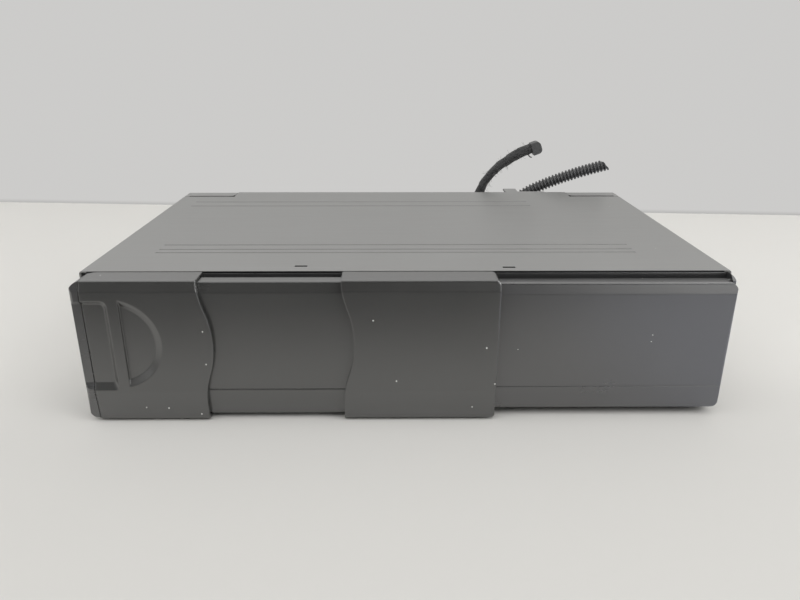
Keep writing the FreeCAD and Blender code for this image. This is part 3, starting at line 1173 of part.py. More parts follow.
def cam_plate():
    """Sliding plate with two slanted slots that lift the deck, and a rack along its top."""
    z0, z1 = FRAME_FLOOR + CAM_FLOOR_GAP, rack_rise() - 1.15 * RACK_MODULE
    y0 = FRONT + CAM_BACK
    y1 = y0 + CAM_SHEET
    left = PIN_X[0] - CAM_LEFT_REACH
    points = [(left, z0), (CAM_RIGHT, z0), (CAM_RIGHT, z1)]
    pitch = math.pi * RACK_MODULE
    half_count = math.floor((CAM_RIGHT - LIFT_GEAR_X) / pitch)
    first = LIFT_GEAR_X + pitch * half_count
    quarter = pitch / 4 * 0.82
    for k in range(2 * half_count + 1):
        middle = first - pitch * k
        if not left + TOOTH_MARGIN < middle < CAM_RIGHT - TOOTH_MARGIN:
            continue
        tip = z1 + 2.0 * RACK_MODULE
        points += [(middle + 1.5 * quarter, z1), (middle + 0.45 * quarter, tip),
                   (middle - 0.45 * quarter, tip), (middle - 1.5 * quarter, z1)]
    points.append((left, z1))
    plate = prism_y(points, y0, y1)
    slots = []
    radius = PIN_RADIUS + RUNNING_GAP
    slope = math.atan2(LIFT_TRAVEL, CAM_TRAVEL)
    off_x, off_z = -radius * math.sin(slope), radius * math.cos(slope)
    for x in PIN_X:
        a = (x, PIN_RISE)
        b = (x + CAM_TRAVEL, PIN_RISE + LIFT_TRAVEL)
        slots.append(prism_y([(a[0] + off_x, a[1] + off_z), (b[0] + off_x, b[1] + off_z),
                              (b[0] - off_x, b[1] - off_z), (a[0] - off_x, a[1] - off_z)], y0 - 1, y1 + 1))
        slots += [rod_y(p[0], p[1], y0 - 1, y1 + 1, radius) for p in (a, b)]
    return cut(plate, *slots)


def lift_gear():
    """Compound gear: small teeth on the rack, large teeth on the motor's pinion."""
    x, z = LIFT_GEAR_X, lift_gear_z()
    small = gear(LIFT_TEETH, RACK_MODULE, x, z, FRONT + CAM_BACK, FRONT + CAM_BACK + SMALL_GEAR_WIDTH,
                 180.0 / LIFT_TEETH)
    hub = rod_y(x, z, FRONT + CAM_BACK + SMALL_GEAR_WIDTH, FRONT + WHEEL_BACK[0],
                GEAR_HUB_RADIUS)
    large = gear(WHEEL_TEETH, TRAIN_MODULE, x, z, FRONT + WHEEL_BACK[0], FRONT + WHEEL_BACK[1], 90.0)
    bore = rod_y(x, z, FRONT + CAM_BACK - 1, FRONT + WHEEL_BACK[1] + 1, STUD_RADIUS + RUNNING_GAP)
    return fuse(small, hub, large).cut(bore)


def lift_stud():
    """Fixed stud that the lift gear turns on, from the frame's wall to the gear bracket."""
    return rod_y(LIFT_GEAR_X, lift_gear_z(), FRONT + FRAME_BACK - FRAME_SHEET, FRONT + BRACKET_BACK[1],
                 STUD_RADIUS - PRESS_GAP)


def pinion_x():
    """Place of the lift motor's axis, to the right of the lift gear."""
    return LIFT_GEAR_X + TRAIN_MODULE * (WHEEL_TEETH + PINION_TEETH) / 2 + MESH_GAP


def motor_pinion():
    """Small gear and shaft of the lift motor."""
    x, z = pinion_x(), lift_gear_z()
    teeth = gear(PINION_TEETH, TRAIN_MODULE, x, z, FRONT + WHEEL_BACK[0] - 0.2, FRONT + WHEEL_BACK[1] + 0.4,
                 270.0 + 180.0 / PINION_TEETH)
    shaft = rod_y(x, z, FRONT + WHEEL_BACK[0], FRONT + BRACKET_BACK[1] + PINION_SHAFT_END,
                  PINION_SHAFT_RADIUS)
    return fuse(teeth, shaft)


def lift_motor():
    """Flat motor behind the gear bracket."""
    x, z = pinion_x(), lift_gear_z()
    can = rod_y(x, z, FRONT + BRACKET_BACK[1], FRONT + BRACKET_BACK[1] + LIFT_MOTOR_LENGTH,
                LIFT_MOTOR_RADIUS)
    return can.cut(rod_y(x, z, FRONT + BRACKET_BACK[0], FRONT + BRACKET_BACK[1] + PINION_SHAFT_END + 0.2,
                         PINION_SHAFT_RADIUS + RUNNING_GAP))


def gear_bracket():
    """Plate that holds the stud and the motor, on two legs to the frame's wall."""
    y0, y1 = FRONT + BRACKET_BACK[0], FRONT + BRACKET_BACK[1]
    z = lift_gear_z()
    x0, x1 = LIFT_GEAR_X - GEAR_BRACKET_REACH[0], pinion_x() + GEAR_BRACKET_REACH[1]
    plate = box(x0, x1, y0, y1, z - GEAR_BRACKET_HEIGHT[0], z + GEAR_BRACKET_HEIGHT[1])
    legs = [box(x, x + GEAR_LEG, FRONT + FRAME_BACK, y1, z - 2.0, z + GEAR_BRACKET_HEIGHT[1] - 1.0)
            for x in (x0, x1 - GEAR_LEG)]
    holes = [rod_y(LIFT_GEAR_X, z, y0 - 1, y1 + 1, STUD_RADIUS), rod_y(pinion_x(), z, y0 - 1, y1 + 1, 1.2)]
    return cut(fuse(plate, *legs), *holes)


# Deck

def turntable_seat():
    """Height of the turntable's flange with the deck in its receiving place."""
    return LOWEST_TRAY + TRAY_FLOOR - RECEIVING_DROP


def arm_pivot_z():
    """Height of the clamp arm's pivot."""
    return puck_low() + ARM_PIVOT_RISE


def elevator_deck():
    """Sheet deck with a pickup window, skirts, a rear wall with the lift pins, and bearing blocks."""
    z0, z1 = DECK_RISE, DECK_TOP
    y0, y1 = FRONT + DECK_FRONT, FRONT + DECK_WALL_BACK
    low = DECK_SKIRT_RISE
    motor_y0 = FRONT + SLED_MOTOR_BACK[0]
    block_y0, block_y1 = FRONT + ROD_BLOCK_BACK[0], FRONT + ROD_BLOCK_BACK[1]
    plate = box(DECK_LEFT, DECK_RIGHT, y0, y1, z0, z1)
    skirts = [box(DECK_LEFT, DECK_RIGHT, y0, y0 + DECK_SHEET, low, SLED_TOP - 0.6),
              box(DECK_LEFT, DECK_LEFT + DECK_SHEET, y0, y1, low, z1),
              box(DECK_RIGHT - DECK_SHEET, DECK_RIGHT, y0, y1, low, z1)]
    wall = box(PIN_X[0] - WALL_MARGIN, PIN_X[1] + WALL_MARGIN, y1 - DECK_SHEET, y1, low, z1)
    pins = [rod_y(x, PIN_RISE, y1 - DECK_SHEET, FRONT + CAM_BACK + CAM_SHEET + PIN_END, PIN_RADIUS)
            for x in PIN_X]
    rod_x_places = [SPINDLE_X + side * ROD_SPREAD for side in (-1, 1)]
    blocks = [box(x - ROD_BLOCK, x + ROD_BLOCK, block_y0, block_y1, low, z0) for x in rod_x_places]
    blocks.append(box(SCREW_X - SCREW_BLOCK, SCREW_X + SCREW_BLOCK, motor_y0 - DECK_SHEET, motor_y0, low,
                      SCREW_BLOCK_TOP))
    sleeves = [upright(x, FRONT + back, low + 1.0, z1, SLEEVE_RADIUS) for x, back in POST_PLACES]
    body = fuse(plate, *skirts, wall, *pins, *blocks, *sleeves)
    half = SLED_WIDTH / 2 + SLED_GAP
    pocket = SLED_MOTOR_RADIUS + 0.6
    windows = [box(SPINDLE_X - half, SCREW_X + pocket, y0 + DECK_SHEET, motor_y0 - DECK_SHEET, z0 - 0.01,
                   z1 + 0.01),
               box(SPINDLE_X - half, SPINDLE_X + half, motor_y0 - 2 * DECK_SHEET, block_y0, z0 - 0.01,
                   z1 + 0.01),
               box(SCREW_X - pocket, SCREW_X + pocket, motor_y0, block_y1, z0 - 0.01, z1 + 0.01),
               upright(SPINDLE_X, DISC_Y, z0 - 1, z1 + 1, MOTOR_RADIUS)]
    holes = [rod_y(x, ROD_RISE, y0 - 1, block_y1 + 1, ROD_RADIUS) for x in rod_x_places]
    holes.append(rod_y(SCREW_X, ROD_RISE, y0 - 1, motor_y0 + 1, ROD_RADIUS + RUNNING_GAP))
    holes += [upright(x, FRONT + back, low, HEIGHT, POST_RADIUS + RUNNING_GAP) for x, back in POST_PLACES]
    return cut(body, *windows, *holes)


def arm_stand():
    """Sheet stand on the deck's rear edge, whose two lugs hold the clamp arm's pin."""
    x0, x1 = SPINDLE_X - STAND_HALF, SPINDLE_X + STAND_HALF
    y1 = FRONT + DECK_WALL_BACK
    pivot_y, pivot_z = FRONT + ARM_PIVOT_BACK, arm_pivot_z()
    lug_top = pivot_z + SHAFT_RADIUS * 2 + 0.1
    lug_front = pivot_y - SHAFT_RADIUS * 2 - 0.2
    foot = box(x0, x1, lug_front, y1, DECK_TOP, DECK_TOP + DECK_SHEET)
    web = box(x0, x1, y1 - DECK_SHEET, y1, DECK_TOP, lug_top)
    lugs = []
    for side in (-1, 1):
        lug_x = sorted((SPINDLE_X + side * (ARM_EAR_X + LUG_GAP),
                        SPINDLE_X + side * (ARM_EAR_X + LUG_GAP + DECK_SHEET)))
        lugs.append(box(lug_x[0], lug_x[1], lug_front, y1, puck_low() + LUG_LOW, lug_top))
    hole = rod_x(pivot_y, pivot_z, x0 - 1, x1 + 1, SHAFT_RADIUS + RUNNING_GAP)
    return fuse(foot, web, *lugs).cut(hole)


def spindle_motor():
    """Flat motor set in the deck."""
    z1 = turntable_seat() - TURNTABLE_FLANGE - TURNTABLE_GAP
    can = upright(SPINDLE_X, DISC_Y, z1 - MOTOR_HEIGHT, z1, MOTOR_RADIUS)
    return can.cut(upright(SPINDLE_X, DISC_Y, z1 - MOTOR_HEIGHT + MOTOR_FLOOR, z1 + 1,
                           SHAFT_RADIUS + RUNNING_GAP))


def turntable():
    """Disc seat with its centring hub and shaft."""
    seat = turntable_seat()
    flange = upright(SPINDLE_X, DISC_Y, seat - TURNTABLE_FLANGE, seat, TURNTABLE_RADIUS)
    hub = Part.makeCone(HUB_RADIUS, HUB_TIP_RADIUS, HUB_HEIGHT, Vector(SPINDLE_X, DISC_Y, seat))
    shaft_low = seat - TURNTABLE_FLANGE - TURNTABLE_GAP - MOTOR_HEIGHT + MOTOR_FLOOR + 0.2
    shaft = upright(SPINDLE_X, DISC_Y, shaft_low, seat, SHAFT_RADIUS)
    return fuse(flange, hub, shaft)


def puck_low():
    """Underside of the clamp puck in its raised place, just above a tray that passes."""
    return LOWEST_TRAY + TRAY_HEIGHT + PUCK_CLEAR


def clamp_puck():
    """Puck that presses the disc on the turntable; its neck hangs in the clamp arm."""
    z0 = puck_low()
    z1 = z0 + PUCK_HEIGHT
    neck_top = z1 + ARM_SHEET + 2 * PUCK_PLAY
    plate = upright(SPINDLE_X, DISC_Y, z0, z1, PUCK_RADIUS)
    recess = upright(SPINDLE_X, DISC_Y, z0 - 1, z1 - PUCK_ROOF, HUB_RADIUS + 0.8)
    neck = upright(SPINDLE_X, DISC_Y, z1 - PUCK_ROOF / 2, neck_top, PUCK_NECK_RADIUS)
    head = upright(SPINDLE_X, DISC_Y, neck_top, neck_top + PUCK_HEAD_HEIGHT, PUCK_HEAD_RADIUS)
    return fuse(plate.cut(recess), neck, head)


def clamp_arm():
    """Sheet arm from its rear pivot to the puck, with two ears on the pin."""
    z0 = puck_low() + PUCK_HEIGHT + PUCK_PLAY
    z1 = z0 + ARM_SHEET
    y_rear = FRONT + ARM_PIVOT_BACK + ARM_REAR
    points = [(SPINDLE_X - ARM_HALF_WIDTH, DISC_Y - 9.0), (SPINDLE_X + ARM_HALF_WIDTH, DISC_Y - 9.0),
              (SPINDLE_X + ARM_HALF_WIDTH, DISC_Y + 20.0), (SPINDLE_X + ARM_EAR_X, y_rear - 12.0),
              (SPINDLE_X + ARM_EAR_X, y_rear), (SPINDLE_X - ARM_EAR_X, y_rear),
              (SPINDLE_X - ARM_EAR_X, y_rear - 12.0), (SPINDLE_X - ARM_HALF_WIDTH, DISC_Y + 20.0)]
    plate = prism_z(points, z0, z1)
    ears = [box(x, x + ARM_SHEET, y_rear - ARM_EAR_DEPTH, y_rear, z0, arm_pivot_z() + 2.0)
            for x in (SPINDLE_X - ARM_EAR_X, SPINDLE_X + ARM_EAR_X - ARM_SHEET)]
    bore = upright(SPINDLE_X, DISC_Y, z0 - 1, z1 + 1, PUCK_NECK_RADIUS + PUCK_PLAY)
    pin_hole = rod_x(FRONT + ARM_PIVOT_BACK, arm_pivot_z(), SPINDLE_X - 30, SPINDLE_X + 30, SHAFT_RADIUS)
    return cut(fuse(plate, *ears), bore, pin_hole)


def clamp_pin():
    """Pivot pin of the clamp arm."""
    reach = ARM_EAR_X + LUG_GAP + DECK_SHEET + PIN_HEAD
    return rod_x(FRONT + ARM_PIVOT_BACK, arm_pivot_z(), SPINDLE_X - reach, SPINDLE_X + reach,
                 SHAFT_RADIUS - 0.01)


def lens_y():
    """Place of the lens with the pickup at the inner tracks."""
    return DISC_Y - LENS_INNER


def pickup_sled():
    """Pickup body on its two rods, with a half nut on the lead screw."""
    y0 = lens_y() - LENS_LEAD
    y1 = y0 + SLED_LENGTH
    body = box(SPINDLE_X - SLED_WIDTH / 2, SPINDLE_X + SLED_WIDTH / 2, y0, y1, SLED_BOTTOM, SLED_TOP)
    nut = box(SPINDLE_X + SLED_WIDTH / 2 - 1.0, SCREW_X, y0 + 0.5, y0 + 0.5 + NUT_LENGTH,
              ROD_RISE - NUT_HALF, ROD_RISE + NUT_HALF)
    holes = [rod_y(SPINDLE_X + side * ROD_SPREAD, ROD_RISE, y0 - 1, y1 + 1, ROD_RADIUS + RUNNING_GAP)
             for side in (-1, 1)]
    holes.append(rod_y(SCREW_X, ROD_RISE, y0 - 1, y1 + 1, ROD_RADIUS + RUNNING_GAP))
    holes.append(upright(SPINDLE_X, lens_y(), SLED_TOP - LENS_DEPTH, SLED_TOP + 1, LENS_RADIUS + 0.3))
    return cut(fuse(body, nut), *holes)


def objective_lens():
    """Lens in its holder on the pickup."""
    return upright(SPINDLE_X, lens_y(), SLED_TOP - LENS_DEPTH, SLED_TOP + LENS_RISE, LENS_RADIUS)


def sled_rods():
    """Two polished rods under the disc."""
    return Part.makeCompound([rod_y(SPINDLE_X + side * ROD_SPREAD, ROD_RISE, FRONT + DECK_FRONT,
                                    FRONT + ROD_BLOCK_BACK[1], ROD_RADIUS - 0.01) for side in (-1, 1)])


def lead_screw():
    """Lead screw of the pickup."""
    return rod_y(SCREW_X, ROD_RISE, FRONT + DECK_FRONT, FRONT + SLED_MOTOR_BACK[0] + 2.0, ROD_RADIUS)


def sled_motor():
    """Motor on the lead screw's rear end."""
    y0, y1 = FRONT + SLED_MOTOR_BACK[0], FRONT + SLED_MOTOR_BACK[1]
    can = rod_y(SCREW_X, ROD_RISE, y0, y1, SLED_MOTOR_RADIUS)
    return can.cut(rod_y(SCREW_X, ROD_RISE, y0 - 1, y0 + 2.2, ROD_RADIUS + RUNNING_GAP))


# Cables

def route_points(route):
    """Centre line points of a cable in the plane behind the box."""
    return [Vector(x, FRONT + CABLE_BACK, top(drop)) for x, drop in route]


def route_wire(points, name):
    """Straight runs joined by tangent arcs that are as large as their runs allow."""
    edges = []
    cursor = points[0]
    radii = []
    for before, corner, after in zip(points, points[1:], points[2:]):
        run_in, run_out = corner - before, after - corner
        turn = run_in.getAngle(run_out)
        reach = 0.45 * min(run_in.Length, run_out.Length)
        radii.append(reach / math.tan(turn / 2))
        u, w = Vector(run_in).normalize(), Vector(run_out).normalize()
        start, end = corner - u * reach, corner + w * reach
        inward = (w - u).normalize()
        middle = corner + inward * (radii[-1] / math.cos(turn / 2) - radii[-1])
        edges.append(Part.LineSegment(cursor, start).toShape())
        edges.append(Part.Arc(start, middle, end).toShape())
        cursor = end
    edges.append(Part.LineSegment(cursor, points[-1]).toShape())
    print(name, "bend radii", [round(r, 1) for r in radii])
    return Part.Wire(edges)


def harness_lead():
    """Taped lead that stands up behind the box."""
    wire = route_wire(route_points(HARNESS_ROUTE), "harness")
    start = wire.Vertexes[0].Point
    ring = Part.Wire(Part.makeCircle(HARNESS_DIAMETER / 2, start, Vector(0, 0, 1)))
    tube = wire.makePipeShell([ring], True, False)
    wanted = math.pi * HARNESS_DIAMETER ** 2 / 4 * wire.Length
    print("harness length", round(wire.Length, 1), "volume share", round(tube.Volume / wanted, 4))
    return tube


def wire_frames(wire):
    """Function that gives the point and direction at a distance along a wire."""
    edges = wire.OrderedEdges

    def at(distance):
        for edge in edges:
            if distance <= edge.Length or edge.isSame(edges[-1]):
                distance = min(distance, edge.Length)
                parameter = edge.getParameterByLength(distance)
                return edge.valueAt(parameter), edge.tangentAt(parameter)
            distance -= edge.Length
    return at


def ring_on(place, radius):
    """Circle square to the route, turned so that its start stays in the plane of the route."""
    point, tangent = place
    circle = Part.Circle(point, tangent, radius)
    side = Vector(0, 1, 0)
    circle.XAxis = side
    return Part.Wire(circle.toShape())


def conduit():
    """Ribbed hose with a smooth bore: each rib is a ruled loft through four circles."""
    wire = route_wire(route_points(CONDUIT_ROUTE), "conduit")
    place = wire_frames(wire)
    length = wire.Length
    straight = CONDUIT_DIAMETER
    ribs = int((length - 2 * straight) / RIB_PITCH)
    pitch = (length - 2 * straight) / ribs
    root, crest = CONDUIT_ROOT / 2, CONDUIT_DIAMETER / 2
    stations = [(0.0, root)]
    for k in range(ribs):
        start = straight + k * pitch
        stations += [(start + 0.15 * pitch, root), (start + 0.3 * pitch, crest),
                     (start + 0.7 * pitch, crest), (start + 0.85 * pitch, root)]
    stations.append((length, root))
    outer = Part.makeLoft([ring_on(place(s), r) for s, r in stations], True, True)
    bore_stations = [0.0] + [straight + k * pitch for k in range(0, ribs + 1, 2)] + [length]
    bore = Part.makeLoft([ring_on(place(s), CONDUIT_BORE / 2) for s in bore_stations], True, True)
    point, tangent = place(length)
    slant = Part.makeBox(40, 40, 40, Vector(-20, -20, 0))
    aim = tangent + Vector(*CONDUIT_SLANT)
    slant.Placement = FreeCAD.Placement(point - tangent * CONDUIT_SLANT_BACK,
                                        FreeCAD.Rotation(Vector(0, 0, 1), aim))
    print("conduit length", round(length, 1), "ribs", ribs, "gap between crests", round(0.6 * pitch, 2))
    return outer.cut(bore).cut(slant)


def harness_plug():
    """Plug in the rear socket, with a hood whose top and slanted face let the two cables out."""
    inset = SOCKET_WALL + PLUG_GAP
    x0, x1 = SOCKET_X[0] + inset, SOCKET_X[1] - inset
    z0, z1 = top(SOCKET_DROP[0]) + inset, top(SOCKET_DROP[1]) - inset
    nose = box(x0, x1, REAR - PLUG_NOSE, REAR + PLUG_NOSE, z0, z1)
    y0, y1 = REAR + SOCKET_LIP + PLUG_GAP, REAR + PLUG_OUT
    hx, hz = HARNESS_ROUTE[0][0], top(HARNESS_ROUTE[0][1])
    cx, cz = CONDUIT_ROUTE[0][0], top(CONDUIT_ROUTE[0][1])
    run_x = CONDUIT_ROUTE[1][0] - CONDUIT_ROUTE[0][0]
    run_z = CONDUIT_ROUTE[0][1] - CONDUIT_ROUTE[1][1]
    slope = run_x / run_z
    knee = cx - (hz - cz) / slope
    hood_right = SOCKET_X[1]
    points = [(SOCKET_X[0], top(SOCKET_DROP[0])), (hood_right, top(SOCKET_DROP[0])),
              (hood_right, cz - (hood_right - cx) * slope), (knee, hz), (SOCKET_X[0], hz)]
    hood = prism_y(points, y0, y1)
    return fuse(nose, hood)


def harness_connector():
    """Small connector on the free end of the taped lead."""
    width, depth, height = HARNESS_END_SIZE
    end = Vector(HARNESS_ROUTE[-1][0], FRONT + CABLE_BACK, top(HARNESS_ROUTE[-1][1]))
    before = Vector(HARNESS_ROUTE[-2][0], FRONT + CABLE_BACK, top(HARNESS_ROUTE[-2][1]))
    tilt = math.degrees(math.atan2(end.z - before.z, end.x - before.x))
    block = Part.makeBox(width, depth, height, Vector(0, -depth / 2, -height / 2 - HARNESS_END_DROP))
    outer_edges = [e for e in block.Edges if abs(e.tangentAt(e.FirstParameter).y) > 0.99
                   and e.BoundBox.XMin > width - 0.1]
    block = block.makeFillet(HARNESS_END_RADIUS, outer_edges)
    block.rotate(Vector(0, 0, 0), Vector(0, 1, 0), -tilt)
    block.translate(end)
    return block


def save(name, shape):
    """Write one sub-part."""
    if not shape.isValid():
        print("not valid:", name)
    shape.exportStep(os.path.join("parts", name + ".step"))


def main():
    """Build and write every sub-part."""
    os.makedirs("parts", exist_ok=True)
    parts = {
        "top_cover": top_cover(), "bottom_chassis": bottom_chassis(), "rear_panel": rear_panel(),
        "front_bezel": front_bezel(), "door_shutter": door_shutter(), "door_grip": door_grip(),
        "cable_bracket": cable_bracket(), "case_screws": case_screws(),
        "angle_dial_left": angle_dial(-1), "angle_dial_right": angle_dial(1),
        "main_board": main_board(), "board_standoffs": board_standoffs(), "board_screws": board_screws(),
        "board_chips": board_chips(), "capacitors": capacitors(), "rear_socket": rear_socket(),
        "floating_frame": floating_frame(), "frame_lid": frame_lid(), "dampers": dampers(),
        "damper_studs": damper_studs(), "magazine_case": magazine_case(),
        "magazine_cradle": magazine_cradle(),
        "eject_button": eject_button(), "eject_guide": eject_guide(), "catch_lever": catch_lever(),
        "guide_posts": guide_posts(), "cam_plate": cam_plate(),
        "lift_gear": lift_gear(), "lift_stud": lift_stud(), "motor_pinion": motor_pinion(),
        "lift_motor": lift_motor(), "gear_bracket": gear_bracket(), "elevator_deck": elevator_deck(),
        "arm_stand": arm_stand(),
        "spindle_motor": spindle_motor(), "turntable": turntable(), "clamp_puck": clamp_puck(),
        "clamp_arm": clamp_arm(), "clamp_pin": clamp_pin(), "pickup_sled": pickup_sled(),
        "objective_lens": objective_lens(), "sled_rods": sled_rods(), "lead_screw": lead_screw(),
        "sled_motor": sled_motor(), "harness_plug": harness_plug(), "harness_lead": harness_lead(),
        "harness_connector": harness_connector(), "conduit": conduit(),
    }
    for level in range(TRAY_COUNT):
        parts["disc_tray_%d" % (level + 1)] = tray(level)
        parts["disc_%d" % (level + 1)] = disc(level)
    for name, shape in parts.items():
        save(name, shape)
    print(len(parts), "sub-parts")


main()
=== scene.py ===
"""Looks of a boot-mounted CD changer: metal cover, sliding plastic front, play mechanism and leads."""

import logging
import math
from dataclasses import dataclass, field, replace
from enum import Enum
from typing import Sequence

import bpy
import numpy as np
from mathutils import Matrix


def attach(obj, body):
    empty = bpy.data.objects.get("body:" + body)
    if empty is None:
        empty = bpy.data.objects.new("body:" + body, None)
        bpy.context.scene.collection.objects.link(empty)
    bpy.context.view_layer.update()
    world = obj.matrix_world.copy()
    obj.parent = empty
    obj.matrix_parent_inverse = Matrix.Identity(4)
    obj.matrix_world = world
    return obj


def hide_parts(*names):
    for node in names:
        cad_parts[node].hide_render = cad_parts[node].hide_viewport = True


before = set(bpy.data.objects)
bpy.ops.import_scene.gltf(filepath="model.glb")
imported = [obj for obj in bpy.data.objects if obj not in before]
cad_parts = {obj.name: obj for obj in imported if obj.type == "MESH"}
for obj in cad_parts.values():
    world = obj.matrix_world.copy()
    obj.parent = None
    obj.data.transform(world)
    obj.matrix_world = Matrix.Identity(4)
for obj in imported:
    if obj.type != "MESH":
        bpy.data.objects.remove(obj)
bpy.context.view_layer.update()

MM = 0.001
FULL_TURN = 2.0 * math.pi
LOG = logging.getLogger("changer")

# The part's own places in millimetres: cover front edge, rear wall, top, half width, the cables' plane
FRONT = -75.15
REAR = 76.55
HEIGHT = 60.0
COVER_HALF = 127.5
CABLE_Y = FRONT + 169.0

Point = tuple[float, float, float]
Colour = tuple[float, float, float]
Span = tuple[float, float]
Material = bpy.types.Material
Tree = bpy.types.NodeTree
Node = bpy.types.Node
Socket = bpy.types.NodeSocket

BLACK: Colour = (0.0, 0.0, 0.0)


class Bearing(Enum):
    """Ways in which a pattern's long side can lie on a piece."""

    ALONG_X = (0.05, 1.0, 1.0)
    ALONG_Z = (1.0, 1.0, 0.05)
    EVEN = (1.0, 1.0, 1.0)


# Shader parts


def rgba(colour: Colour) -> tuple[float, float, float, float]:
    """Colour with full cover."""
    return (*colour, 1.0)


class NodeSheet:
    """Adds nodes to one shader tree, with inputs that are other nodes' outputs or plain values."""

    def __init__(self, tree: Tree) -> None:
        """Work on one tree."""
        self.tree = tree

    def fill(self, node: Node, inputs: dict) -> Node:
        """Link or set a node's inputs.

        Args:
            node: the node.
            inputs: an output or a value for each input, by the input's name or number.

        Returns:
            The same node.
        """
        for key, value in inputs.items():
            if isinstance(value, Socket):
                self.tree.links.new(value, node.inputs[key])
            else:
                node.inputs[key].default_value = value
        return node

    def add(self, kind: str, inputs: dict | None = None, **settings: object) -> Node:
        """Add a node.

        Args:
            kind: its type, without the prefix that all shader nodes have.
            inputs: as fill takes them.
            settings: its own properties.

        Returns:
            The new node.
        """
        node = self.tree.nodes.new("ShaderNode" + kind)
        for name, setting in settings.items():
            setattr(node, name, setting)
        return self.fill(node, inputs or {})

    def coordinates(self, kind: str = "Object") -> Socket:
        """Places on the piece, in its own space unless another kind is named."""
        return self.add("TexCoord").outputs[kind]

    def axes(self, vector: Socket) -> object:
        """Split a vector into outputs X, Y and Z."""
        return self.add("SeparateXYZ", {"Vector": vector}).outputs

    def math(self, kind: str, *values: object) -> Socket:
        """Reckon with outputs or numbers."""
        return self.add("Math", dict(enumerate(values)), operation=kind).outputs[0]

    def times(self, first: object, second: object) -> Socket:
        """Product of outputs or numbers."""
        return self.math("MULTIPLY", first, second)

    def noise(self, at: object, scale: object, detail: float = 3.0, rough: float = 0.55) -> Socket:
        """Noise from 0 to 1."""
        inputs = {"Vector": at, "Scale": scale, "Detail": detail, "Roughness": rough}
        return self.add("TexNoise", inputs).outputs["Fac"]

    def ramp(self, value: object, span: Span, to: Span = (0.0, 1.0)) -> Socket:
        """Map a span of a value to another span, with smooth ends."""
        ends = dict(zip(("From Min", "From Max", "To Min", "To Max"), (*span, *to)))
        return self.add("MapRange", {"Value": value, **ends}, interpolation_type="SMOOTHSTEP").outputs[0]

    def blend(self, factor: object, first: object, second: object) -> Socket:
        """Mix two colours, each an output or a colour."""
        first, second = (rgba(c) if isinstance(c, tuple) else c for c in (first, second))
        return self.add("Mix", {0: factor, 6: first, 7: second}, data_type="RGBA").outputs[2]

    def place(self, group: Tree, vector: object, **values: object) -> Socket:
        """Put a shared group into the tree with its own values."""
        return self.add("Group", {"Vector": vector, **values}, node_tree=group).outputs[0]


def new_group(name: str, values: dict[str, object], result: str) -> tuple:
    """Start a shader node group that reads coordinates and gives one value.

    Args:
        name: the group's name.
        values: its inputs after Vector, with numbers or vectors as defaults.
        result: the name of its output.

    Returns:
        Its sheet, the outputs of its input node and its output node.
    """
    tree = bpy.data.node_groups.new(name, "ShaderNodeTree")
    tree.interface.new_socket("Vector", in_out="INPUT", socket_type="NodeSocketVector")
    for label, value in values.items():
        kind = "NodeSocketFloat" if isinstance(value, float) else "NodeSocketVector"
        tree.interface.new_socket(label, in_out="INPUT", socket_type=kind).default_value = value
    tree.interface.new_socket(result, in_out="OUTPUT", socket_type="NodeSocketFloat")
    return NodeSheet(tree), tree.nodes.new("NodeGroupInput").outputs, tree.nodes.new("NodeGroupOutput")


def new_material(name: str) -> tuple[Material, NodeSheet, Node]:
    """Start a node material.

    Args:
        name: its name.

    Returns:
        The material, its sheet and its surface shader.
    """
    material = bpy.data.materials.new(name)
    material.use_nodes = True
    return material, NodeSheet(material.node_tree), material.node_tree.nodes["Principled BSDF"]


class Effects:
    """Node groups that several finishes share."""

    def __init__(self) -> None:
        """Build each group once."""
        self.grain = self._grain()
        self.specks = self._specks()
        self.streaks = self._streaks()
        self.smudges = self._smudges()

    def _grain(self) -> Tree:
        """Moulded or sprayed grain: height = fine noise + 0.8 * a noise 0.22 times as fine.

        Returns:
            The group.
        """
        sheet, given, end = new_group("surface_grain", {"Scale": 900.0}, "Height")
        fine = sheet.noise(given["Vector"], given["Scale"], detail=2.0, rough=0.5)
        broad_scale = sheet.times(given["Scale"], 0.22)
        broad = sheet.noise(given["Vector"], broad_scale, detail=1.0, rough=0.5)
        sheet.fill(end, {"Height": sheet.math("ADD", fine, sheet.times(broad, 0.8))})
        return sheet.tree

    def _specks(self) -> Tree:
        """Sparse dust specks: a mask that is 1 in the middle of a share of the cells.

        Returns:
            The group.
        """
        sheet, given, end = new_group("dust_specks", {"Scale": 160.0, "Size": 0.12, "Share": 0.06}, "Mask")
        cells = sheet.add("TexVoronoi", {"Vector": given["Vector"], "Scale": given["Scale"]})
        near = sheet.math("LESS_THAN", cells.outputs["Distance"], given["Size"])
        lot = sheet.add("SeparateColor", {"Color": cells.outputs["Color"]}).outputs["Red"]
        chosen = sheet.math("LESS_THAN", lot, given["Share"])
        sheet.fill(end, {"Mask": sheet.times(near, chosen)})
        return sheet.tree

    def _streaks(self) -> Tree:
        """Drawn-out lines: a noise on stretched coordinates, as a value from 0 to 1.

        Returns:
            The group.
        """
        sheet, given, end = new_group("drawn_streaks", {"Stretch": (1.0, 1.0, 1.0), "Scale": 400.0}, "Value")
        stretch = sheet.add("VectorMath", {0: given["Vector"], 1: given["Stretch"]}, operation="MULTIPLY")
        lines = sheet.noise(stretch.outputs["Vector"], given["Scale"], detail=4.0, rough=0.5)
        sheet.fill(end, {"Value": sheet.ramp(lines, (0.3, 0.7))})
        return sheet.tree

    def _smudges(self) -> Tree:
        """Soft handling marks: broad noise as a value from 0 to 1.

        Returns:
            The group.
        """
        sheet, given, end = new_group("handling_smudges", {"Scale": 22.0}, "Value")
        broad = sheet.noise(given["Vector"], given["Scale"], detail=4.0, rough=0.6)
        sheet.fill(end, {"Value": sheet.ramp(broad, (0.32, 0.7))})
        return sheet.tree


